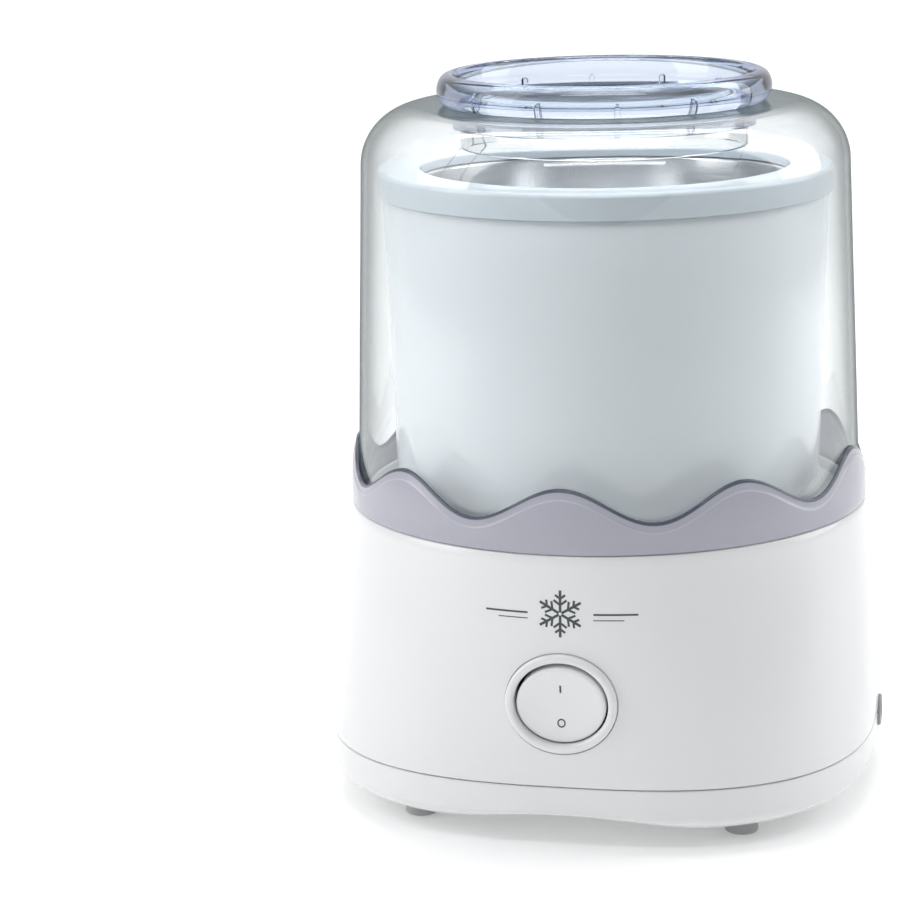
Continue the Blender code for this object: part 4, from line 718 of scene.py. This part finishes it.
# ---------------------------------------------------------------- mains inlet
# A grey bushing that guides the mains lead through the right-hand wall. It is moulded in one
# piece, sits across the seam of housing and cover and is held there by its nut inside.
inlet_profile = mm((3.2, -9.6), (6.4, -9.6), (6.4, 0.3))
inlet_profile += bend((5.7 * MM, 0.3 * MM), 0.7 * MM, 10, 90, 5) + bend((4.0 * MM, 0.2 * MM), 0.8 * MM, 90, 180, 5)
bushing = lathe(inlet_profile, 72)
bushing.transform(inlet_place)
bushing = as_object("inlet_bushing", bushing)
bushing_grey = moulded("grey_bushing_plastic", (0.26, 0.27, 0.28), (0.32, 0.33, 0.34), (0.40, 0.55), 900.0, 0.15)
fit(bushing, bushing_grey, "base", "cord_inlet_bushing")

# ---------------------------------------------------------------- freezer bowl
# A double-walled bowl: a plastic shell outside, a polished aluminium pot inside and a frozen gel
# between them. A white rim ring is pressed over both edges. Dogs under it key it to the hub.
bowl_low = 119.9 * MM
rim_low = 239.5 * MM
rim_top = 249.8 * MM
bowl_sides = 192
bowl_foot = (77 * MM, bowl_low + 8 * MM)
shell_profile = mm((0, 128.1), (16.1, 128.1)) + [(16.1 * MM, bowl_low)] + bend(bowl_foot, 8 * MM, -90, 0, 10)
shell_profile += mm((86.6, 185), (88.3, 241.5), (86.3, 241.5)) + bend(bowl_foot, 6 * MM, 0, -90, 6)
shell_profile += mm((18.3, 121.9), (18.3, 130.1), (0, 130.1))
shell = as_object("bowl_outer_shell", lathe(shell_profile, bowl_sides))
keys = as_object("bowl_key_tool", block((3.2 * MM, 5.4 * MM, 8.2 * MM), (15.2 * MM, 0, 124.6 * MM)))
round_row = turned_copies("Round row", "Z")
run_tree(keys, round_row, {"Count": 6, "Start": math.tau / 12})
combine(shell, [keys], "UNION")
plug_hole = lathe([(0, 0.1), (5.3 * MM, 0.1), (5.3 * MM, 0.1229), (0, 0.1229)], 48)
bmesh.ops.translate(plug_hole, verts=plug_hole.verts, vec=(60 * MM, 0, 0))
combine(shell, [as_object("plug_hole", plug_hole)])
bowl_white = moulded("bowl_grey_white_plastic", (0.745, 0.785, 0.815), (0.765, 0.805, 0.835), (0.12, 0.17),
                     480.0, 0.02)
fit(shell, bowl_white, "bowl", "bowl_shell")

pot_foot = (63 * MM, 147 * MM)
liner_profile = mm((0, 136)) + bend(pot_foot, 11 * MM, -90, 0, 8) + mm((74, 243.9), (87.9, 243.9), (87.9, 244.9))
liner_profile += bend((74.5 * MM, 243.4 * MM), 1.5 * MM, 90, 180, 4) + bend(pot_foot, 10 * MM, 0, -90, 8)
liner_profile += mm((0, 137))
liner = as_object("bowl_inner_pot", lathe(liner_profile, bowl_sides))
polished = metal("polished_aluminium", (0.86, 0.87, 0.88), (0.90, 0.905, 0.91), (0.16, 0.24), (1, 1, 14), 90.0, 0.03)
fit(liner, polished, "bowl", "bowl_liner")

rim_profile = [(88.6 * MM, rim_low), (89.9 * MM, rim_low), (90.3 * MM, rim_low + 0.4 * MM)]
rim_profile += bend((88.5 * MM, rim_top - 1.8 * MM), 1.8 * MM, 0, 90, 8)
rim_profile += bend((74.2 * MM, rim_top - 1.2 * MM), 1.2 * MM, 90, 180, 6) + mm((73, 245.3), (88.6, 245.3))
rim = as_object("bowl_rim_ring", lathe(rim_profile, bowl_sides))
rim_white = moulded("rim_grey_white_plastic", (0.57, 0.63, 0.67), (0.60, 0.66, 0.70), (0.10, 0.15), 560.0, 0.02)
fit(rim, rim_white, "bowl", "bowl_rim")

# ---------------------------------------------------------------- mixing arm
# A clear moulded paddle that stands still while the bowl turns round it. Its ring is held in the
# lid's ribs; a flat frame hangs from the ring, with one blade near the wall and a bar on the floor.


def clear(name, colour, tint, rough, bulk, density, depth=0.015, outline_shade_tint=(0.30, 0.35, 0.36), outline_shade_share=0.55):
    """Clear moulding, a little uneven, with painted shade darkening it where one looks along its wall, in place of the
    dark room seen through it; lamps shine through it.
    """
    material = moulded(name, colour, tint, rough, 60.0, depth, Transmission_Weight=1.0, IOR=1.49)
    tree = material.node_tree
    inside = tree.nodes.new("ShaderNodeVolumeAbsorption")
    inside.inputs["Color"].default_value = (*bulk, 1)
    inside.inputs["Density"].default_value = density
    output = tree.nodes["Material Output"]
    tree.links.new(inside.outputs[0], output.inputs["Volume"])
    shader = tree.nodes["Principled BSDF"]
    plain = shader.inputs["Base Color"].links[0].from_socket
    # Painted shade: towards the outline the colour turns to the shade tint, and a dark matte is mixed in.
    facing = tree.nodes.new("ShaderNodeLayerWeight")
    facing.inputs["Blend"].default_value = 0.5
    shares = []
    for low, high, most in ((0.40, 0.92, 0.9), (0.66, 0.96, outline_shade_share)):
        grazing = tree.nodes.new("ShaderNodeMapRange")
        grazing.interpolation_type = "SMOOTHSTEP"
        grazing.inputs["From Min"].default_value = low
        grazing.inputs["From Max"].default_value = high
        grazing.inputs["To Max"].default_value = most
        tree.links.new(facing.outputs["Facing"], grazing.inputs["Value"])
        shares.append(grazing.outputs[0])
    tree.links.new(blend_colour(tree, shares[0], plain, outline_shade_tint), shader.inputs["Base Color"])
    # The dark matte of the painted shade at the outline.
    outline_shade_matte = tree.nodes.new("ShaderNodeBsdfPrincipled")
    outline_shade_matte.inputs["Base Color"].default_value = (*[v * 0.6 for v in outline_shade_tint], 1)
    outline_shade_matte.inputs["Roughness"].default_value = 0.4
    outline_shade_matte.inputs["Specular IOR Level"].default_value = 0.0
    rays = tree.nodes.new("ShaderNodeLightPath")
    open_air = tree.nodes.new("ShaderNodeBsdfTransparent")
    open_air.inputs["Color"].default_value = (*[0.5 + 0.5 * v for v in colour], 1)
    last = shader.outputs[0]
    for share, other in ((shares[1], outline_shade_matte.outputs[0]), (rays.outputs["Is Shadow Ray"], open_air.outputs[0])):
        blend = tree.nodes.new("ShaderNodeMixShader")
        tree.links.new(share, blend.inputs[0])
        tree.links.new(last, blend.inputs[1])
        tree.links.new(other, blend.inputs[2])
        last = blend.outputs[0]
    tree.links.new(last, output.inputs["Surface"])
    return material


# The paddle gets only a faint painted shade towards its outline and no dark matte.
paddle_clear = clear("clear_paddle", (0.97, 0.98, 0.985), (0.98, 0.99, 0.99), (0.02, 0.05), (0.75, 0.85, 0.9), 6.0,
                     depth=0.004, outline_shade_tint=(0.80, 0.84, 0.86), outline_shade_share=0.0)
arm = as_object("mixing_paddle", lathe(mm(
    (54.1, 258.1), (54.5, 257.7), (56.1, 257.7), (56.5, 258.1), (56.5, 266.3), (56.1, 266.7), (54.5, 266.7),
    (54.1, 266.3)), 144))
frame_outline = [
    (-56.3, 265.7), (-56.3, 258.7), (-71.5, 237.8), (-71.5, 149.5), (-70.6, 145.0), (-68.2, 141.6), (-64.6, 139.2),
    (-60.5, 138.5), (34, 138.5), (36.4, 139.6), (37, 142), (37, 207.8), (56.3, 258.7), (56.3, 265.7), (50.3, 265.7),
    (48.3, 257.7), (26, 205.8), (24.2, 199), (24, 154), (22.9, 151.4), (20, 150.5), (-54, 150.5), (-57.2, 151.7),
    (-58.5, 155), (-58.5, 243.8), (-48.3, 257.7), (-50.3, 265.7)]
frame_thick = 3 * MM
flat = bmesh.new()
face = flat.faces.new([flat.verts.new((x, -frame_thick / 2, z)) for x, z in mm(*frame_outline)])
grown = bmesh.ops.extrude_face_region(flat, geom=[face])
far_side = [corner for corner in grown["geom"] if isinstance(corner, bmesh.types.BMVert)]
bmesh.ops.translate(flat, verts=far_side, vec=(0, frame_thick, 0))
bmesh.ops.triangulate(flat, faces=[f for f in flat.faces if len(f.verts) > 4])
bmesh.ops.recalc_face_normals(flat, faces=flat.faces)
combine(arm, [as_object("paddle_frame", flat)], "UNION")
fit(arm, paddle_clear, "mixing_arm", "mixing_arm")

# ---------------------------------------------------------------- lid
# A clear hood over the bowl, moulded with a two millimetre wall: an upright cylinder with a
# rounded shoulder and a flat top with a round hole. It stands on the deck, inside the collar.
shoulder = (73.1 * MM, 250.5 * MM)
lid_sides = 216
lid_outside = mm((100.7, 116.3), (101.1, 116.8), (100.0, 150), (98.9, 184), (97.7, 217))
lid_outside += bend(shoulder, 23.5 * MM, 0, 90, 20) + mm((60.5, 274), (60.1, 273.6))
lid_inside = mm((60.1, 272.4), (60.5, 272)) + bend(shoulder, 21.5 * MM, 90, 0, 20)
lid_inside += mm((95.7, 217), (96.9, 184), (98.0, 150), (99.1, 116.8), (99.5, 116.3))
lid = as_object("clear_lid", lathe(lid_outside + lid_inside, lid_sides))
# Painted shade: the lid darkens to grey-green towards its outline.
lid_clear = clear("clear_lid_plastic", (0.965, 0.975, 0.98), (0.975, 0.985, 0.99), (0.008, 0.02), (0.45, 0.60, 0.62),
                  14.0, depth=0.002, outline_shade_tint=(0.17, 0.21, 0.215), outline_shade_share=0.85)
fit(lid, lid_clear, "lid", "lid")

# ---------------------------------------------------------------- pouring ring
# A thick clear ring snapped over the hole in the lid, tinted a faint blue. Its lip is rounded
# where ingredients go in, and ribs inside its skirt hold the ring of the mixing arm still.


def through(points, steps):
    """A smooth curve through the points."""
    ends = [points[0]] + points + [points[-1]]
    curve = []
    for p0, p1, p2, p3 in zip(ends, ends[1:], ends[2:], ends[3:]):
        for k in range(steps):
            t = k / steps
            curve.append(tuple(
                0.5 * (2 * b + (c - a) * t + (2 * a - 5 * b + 4 * c - d) * t * t + (3 * b - a - 3 * c + d) * t ** 3)
                for a, b, c, d in zip(p0, p1, p2, p3)))
    return curve + [points[-1]]


lip = through(mm(
    (63.2, 274.3), (64.9, 276.0), (65.95, 278.6), (65.7, 281.8), (64.3, 284.6), (62.2, 285.9), (60.3, 286.1),
    (58.9, 284.9), (57.8, 281.5), (57.4, 277.5)), 3)
ring_profile = mm((58.9, 267), (59.2, 267.4), (59.2, 274.3)) + lip + mm((57.4, 267.4), (57.7, 267))
ring = as_object("lid_pouring_lip", lathe(ring_profile, lid_sides))
rib = block((3.6 * MM, 2.0 * MM, 11.2 * MM), (0, 0, 0))
bmesh.ops.bevel(rib, geom=rib.edges[:], offset=0.5 * MM, segments=2, affect="EDGES")
bmesh.ops.translate(rib, verts=rib.verts, vec=(56.6 * MM, 0, 273.2 * MM))
ribs = as_object("pouring_ring_ribs", rib)
run_tree(ribs, round_row, {"Count": 12, "Start": math.tau / 24})
combine(ring, [ribs], "UNION")
# Painted shade: the ring darkens to deep blue towards its outline.
ring_clear = clear("blue_tinted_clear_plastic", (0.77, 0.82, 0.90), (0.79, 0.84, 0.91), (0.01, 0.03),
                   (0.45, 0.55, 0.76), 30.0, depth=0.006, outline_shade_tint=(0.22, 0.28, 0.46), outline_shade_share=0.45)
fit(ring, ring_clear, "lid", "lid_pouring_ring")

# ---------------------------------------------------------------- collar
# A translucent lavender-grey ring on the deck, round the foot of the lid. Its top edge runs in
# nine even waves, and its wall is thinned just under the edge. A dark line of painted shade lies
# along the top edge and a light line of painted highlight at the step below. It is clipped on the housing.
wave_count = 9
wave_height = 6.4 * MM
collar_low = deck_top + gap
rigid = 130.2 * MM
collar_top = 134.8 * MM
collar_outside = [(101.6, 116.3), (103.5, 116.3), (103.8, 116.6)] + [(103.8, 118 + k * 1.5) for k in range(8)]
collar_outside += [(103.8, 130.2), (103.75, 130.7), (103.5, 131.1), (103.45, 132.3), (103.4, 133.3), (103.4, 133.8)]
collar_edge = [(103.2, 134.55), (102.8, 134.8), (102.3, 134.75), (102.1, 134.4)]
collar_inside = [(102.0, 132.0), (101.9, 126), (101.8, 121)]
collar = as_object("wavy_collar", lathe(mm(*collar_outside, *collar_edge, *collar_inside), wave_count * 28))
# Painted shade and highlight: 1 marks the dark line along the top edge, -0.6 the light line at the step.
painted_shade_from = 133.6
painted_highlight_line = (130.4, 131.0)
painted_shade_and_highlight = collar.data.attributes.new("painted_edge_shade_and_highlight", "FLOAT", "POINT")
for vertex, value in zip(collar.data.vertices, painted_shade_and_highlight.data):
    high = vertex.co.z / MM
    value.value = 1.0 if high > painted_shade_from else (-0.6 if painted_highlight_line[0] < high < painted_highlight_line[1] else 0.0)

wave, entry, leave = tree_start("Wavy edge", (
    ("Count", "NodeSocketInt", 9), ("Height", "NodeSocketFloat", 0.0064), ("Foot", "NodeSocketFloat", 0.1163),
    ("Level", "NodeSocketFloat", 0.1302), ("Bend", "NodeSocketFloat", 0.125), ("Crest", "NodeSocketFloat", 0.1412),
    ("Lean", "NodeSocketFloat", 0.0019)))
position = wave.nodes.new("GeometryNodeInputPosition")
parts = wave.nodes.new("ShaderNodeSeparateXYZ")
wave.links.new(position.outputs[0], parts.inputs[0])
x, y, z = parts.outputs
size = entry.outputs


def reckon(operation, *values):
    """A Math node in the wavy edge's tree."""
    return math_node(wave, operation, *values)


swing = reckon("COSINE", reckon("MULTIPLY", reckon("ADD", reckon("ARCTAN2", y, x), math.pi / 2), size["Count"]))
share = reckon("DIVIDE", reckon("SUBTRACT", z, size["Foot"]), reckon("SUBTRACT", size["Level"], size["Foot"]))
share = reckon("MINIMUM", reckon("MAXIMUM", share, 0), 1)
lifted = reckon("ADD", z, reckon("MULTIPLY", reckon("MULTIPLY", swing, size["Height"]), share))
over = reckon("DIVIDE", reckon("SUBTRACT", lifted, size["Bend"]), reckon("SUBTRACT", size["Crest"], size["Bend"]))
lean = reckon("MULTIPLY", reckon("POWER", reckon("MAXIMUM", over, 0), 1.5), size["Lean"])
radius = reckon("SQRT", reckon("ADD", reckon("MULTIPLY", x, x), reckon("MULTIPLY", y, y)))
kept_share = reckon("DIVIDE", reckon("SUBTRACT", radius, lean), radius)
joined = wave.nodes.new("ShaderNodeCombineXYZ")
new_place = (reckon("MULTIPLY", x, kept_share), reckon("MULTIPLY", y, kept_share), lifted)
for socket, value in zip(joined.inputs, new_place):
    wave.links.new(value, socket)
moved = wave.nodes.new("GeometryNodeSetPosition")
wave.links.new(entry.outputs["Geometry"], moved.inputs["Geometry"])
wave.links.new(joined.outputs[0], moved.inputs["Position"])
tree_end(wave, entry, leave, moved.outputs[0])
run_tree(collar, wave, {"Count": wave_count, "Height": wave_height, "Foot": collar_low, "Level": rigid,
                        "Bend": 125 * MM, "Crest": collar_top + wave_height, "Lean": 1.9 * MM}, 40)
collar_tint = moulded("lavender_grey_translucent", (0.58, 0.58, 0.66), (0.61, 0.61, 0.69), (0.14, 0.22), 420.0, 0.03,
                      Transmission_Weight=0.35, IOR=1.46)
tree = collar_tint.node_tree
reader = tree.nodes.new("ShaderNodeAttribute")
reader.attribute_name = "painted_edge_shade_and_highlight"
shader = tree.nodes["Principled BSDF"]
plain = shader.inputs["Base Color"].links[0].from_socket
# Blend the painted shade and the painted highlight into the collar's colour.
for colour, sign in (((0.13, 0.15, 0.20), 1), ((0.85, 0.86, 0.93), -1)):
    amount = math_node(tree, "MAXIMUM", math_node(tree, "MULTIPLY", reader.outputs["Fac"], sign), 0)
    plain = blend_colour(tree, amount, plain, colour)
tree.links.new(plain, shader.inputs["Base Color"])
fit(collar, collar_tint, "base", "collar_ring")

# ---------------------------------------------------------------- floor, light and camera
# A pale level floor that curves up behind, and five soft lamps: one on each side, one above, a
# narrow one high in front for the glints, and one that keeps the wall behind the machine white.
floor_rows = []
for y, z in ((-3.0, 0), (1.2, 0), (1.6, 0.03), (1.95, 0.15), (2.2, 0.4), (2.3, 0.8), (2.3, 3.0)):
    floor_rows.append([(-4.0, y, z), (4.0, y, z)])
sweep = bmesh.new()
lines = [[sweep.verts.new(p) for p in row] for row in floor_rows]
for low, high in zip(lines, lines[1:]):
    sweep.faces.new((low[0], low[1], high[1], high[0]))
turned_away = math.radians(10.1)
azimuth = Matrix.Rotation(turned_away, 4, "Z")
sweep.transform(azimuth)
floor = as_object("pale_floor", sweep, 60)
floor_paint = moulded("pale_floor_paint", (0.86, 0.86, 0.86), (0.88, 0.88, 0.88), (0.55, 0.65), 40.0, 0.01)
glow = floor_paint.node_tree.nodes["Principled BSDF"].inputs
glow["Emission Color"].default_value = (1, 1, 1, 1)
glow["Emission Strength"].default_value = 0.2
floor.data.materials.append(floor_paint)


def soft_lamp(name, at, aim, width, height, power):
    lamp = bpy.data.lights.new(name, "AREA")
    lamp.shape = "RECTANGLE"
    lamp.size = width
    lamp.size_y = height
    lamp.energy = power
    thing = bpy.data.objects.new(name, lamp)
    at = azimuth @ Vector(at)
    beam = azimuth @ Vector(aim) - at
    thing.matrix_world = Matrix.Translation(at) @ beam.to_track_quat("-Z", "Y").to_matrix().to_4x4()
    bpy.context.collection.objects.link(thing)


soft_lamp("left_soft_lamp", (-1.25, -0.25, 0.75), (0, 0, 0.16), 0.8, 1.3, 8.5)
soft_lamp("right_soft_lamp", (1.3, 0.25, 0.75), (0, 0, 0.16), 0.8, 1.3, 8.5)
soft_lamp("top_soft_lamp", (0.0, 0.1, 1.5), (0, 0, 0.2), 0.8, 0.6, 5.5)
soft_lamp("front_soft_lamp", (0.0, -1.0, 1.35), (0, 0, 0.2), 1.3, 0.14, 5)
soft_lamp("back_wall_lamp", (0.0, 1.2, 2.2), (0, 2.3, 0.7), 2.6, 0.5, 26)

# The room behind the lamps: white wall behind the machine, greyer towards the front, and dark at
# the far right and left, which draws the edges of the clear parts.
world = bpy.data.worlds.new("soft_room")
world.use_nodes = True
tree = world.node_tree
way = tree.nodes.new("ShaderNodeMapping")
way.inputs["Rotation"].default_value = (0, 0, -turned_away)
tree.links.new(tree.nodes.new("ShaderNodeTexCoord").outputs["Generated"], way.inputs["Vector"])
parts = tree.nodes.new("ShaderNodeSeparateXYZ")
tree.links.new(way.outputs[0], parts.inputs[0])


def room_ramp(value, stops):
    """Grey levels over a direction from -1 to 1."""
    level = math_node(tree, "MULTIPLY_ADD", value, 0.5, 0.5)
    ramp = tree.nodes.new("ShaderNodeValToRGB")
    elements = ramp.color_ramp.elements
    elements[0].position, elements[1].position = (stops[0][0] + 1) / 2, (stops[-1][0] + 1) / 2
    for at, _ in stops[1:-1]:
        elements.new((at + 1) / 2)
    for element, (_, grey) in zip(elements, stops):
        element.color = (grey, grey * 1.01, grey * 1.02, 1)
    tree.links.new(level, ramp.inputs["Fac"])
    return ramp.outputs["Color"]


front_back = room_ramp(parts.outputs["Y"], ((-1, 0.42), (-0.5, 0.62), (0.1, 0.9), (0.6, 1.0)))
left_right = room_ramp(parts.outputs["X"], ((-0.99, 0.45), (-0.86, 1.0), (0.74, 1.0), (0.9, 0.16)))
both = tree.nodes.new("ShaderNodeMix")
both.data_type = "RGBA"
both.blend_type = "MULTIPLY"
both.inputs["Factor"].default_value = 1.0
tree.links.new(front_back, both.inputs["A"])
tree.links.new(left_right, both.inputs["B"])
tree.links.new(both.outputs["Result"], tree.nodes["Background"].inputs["Color"])
tree.nodes["Background"].inputs["Strength"].default_value = 0.48
bpy.context.scene.world = world
bpy.context.scene.view_settings.view_transform = "Standard"

reach, eye = 1154.05 * MM, 402.1 * MM
pitch, yaw, roll = math.radians(13.09), math.radians(-3.17), math.radians(-1.33)
ahead = Vector((math.sin(yaw) * math.cos(pitch), math.cos(yaw) * math.cos(pitch), -math.sin(pitch)))
right = ahead.cross(Vector((0, 0, 1))).normalized()
up = right.cross(ahead)
axis_x = math.cos(roll) * right + math.sin(roll) * up
axis_y = math.cos(roll) * up - math.sin(roll) * right
stand = Matrix((axis_x, axis_y, -ahead)).transposed().to_4x4()
lens = bpy.data.cameras.new("camera")
lens.lens = 116.9
lens.sensor_width = 36
camera = bpy.data.objects.new("camera", lens)
camera.matrix_world = azimuth @ Matrix.Translation((0, -reach, eye)) @ stand
bpy.context.collection.objects.link(camera)
bpy.context.scene.camera = camera
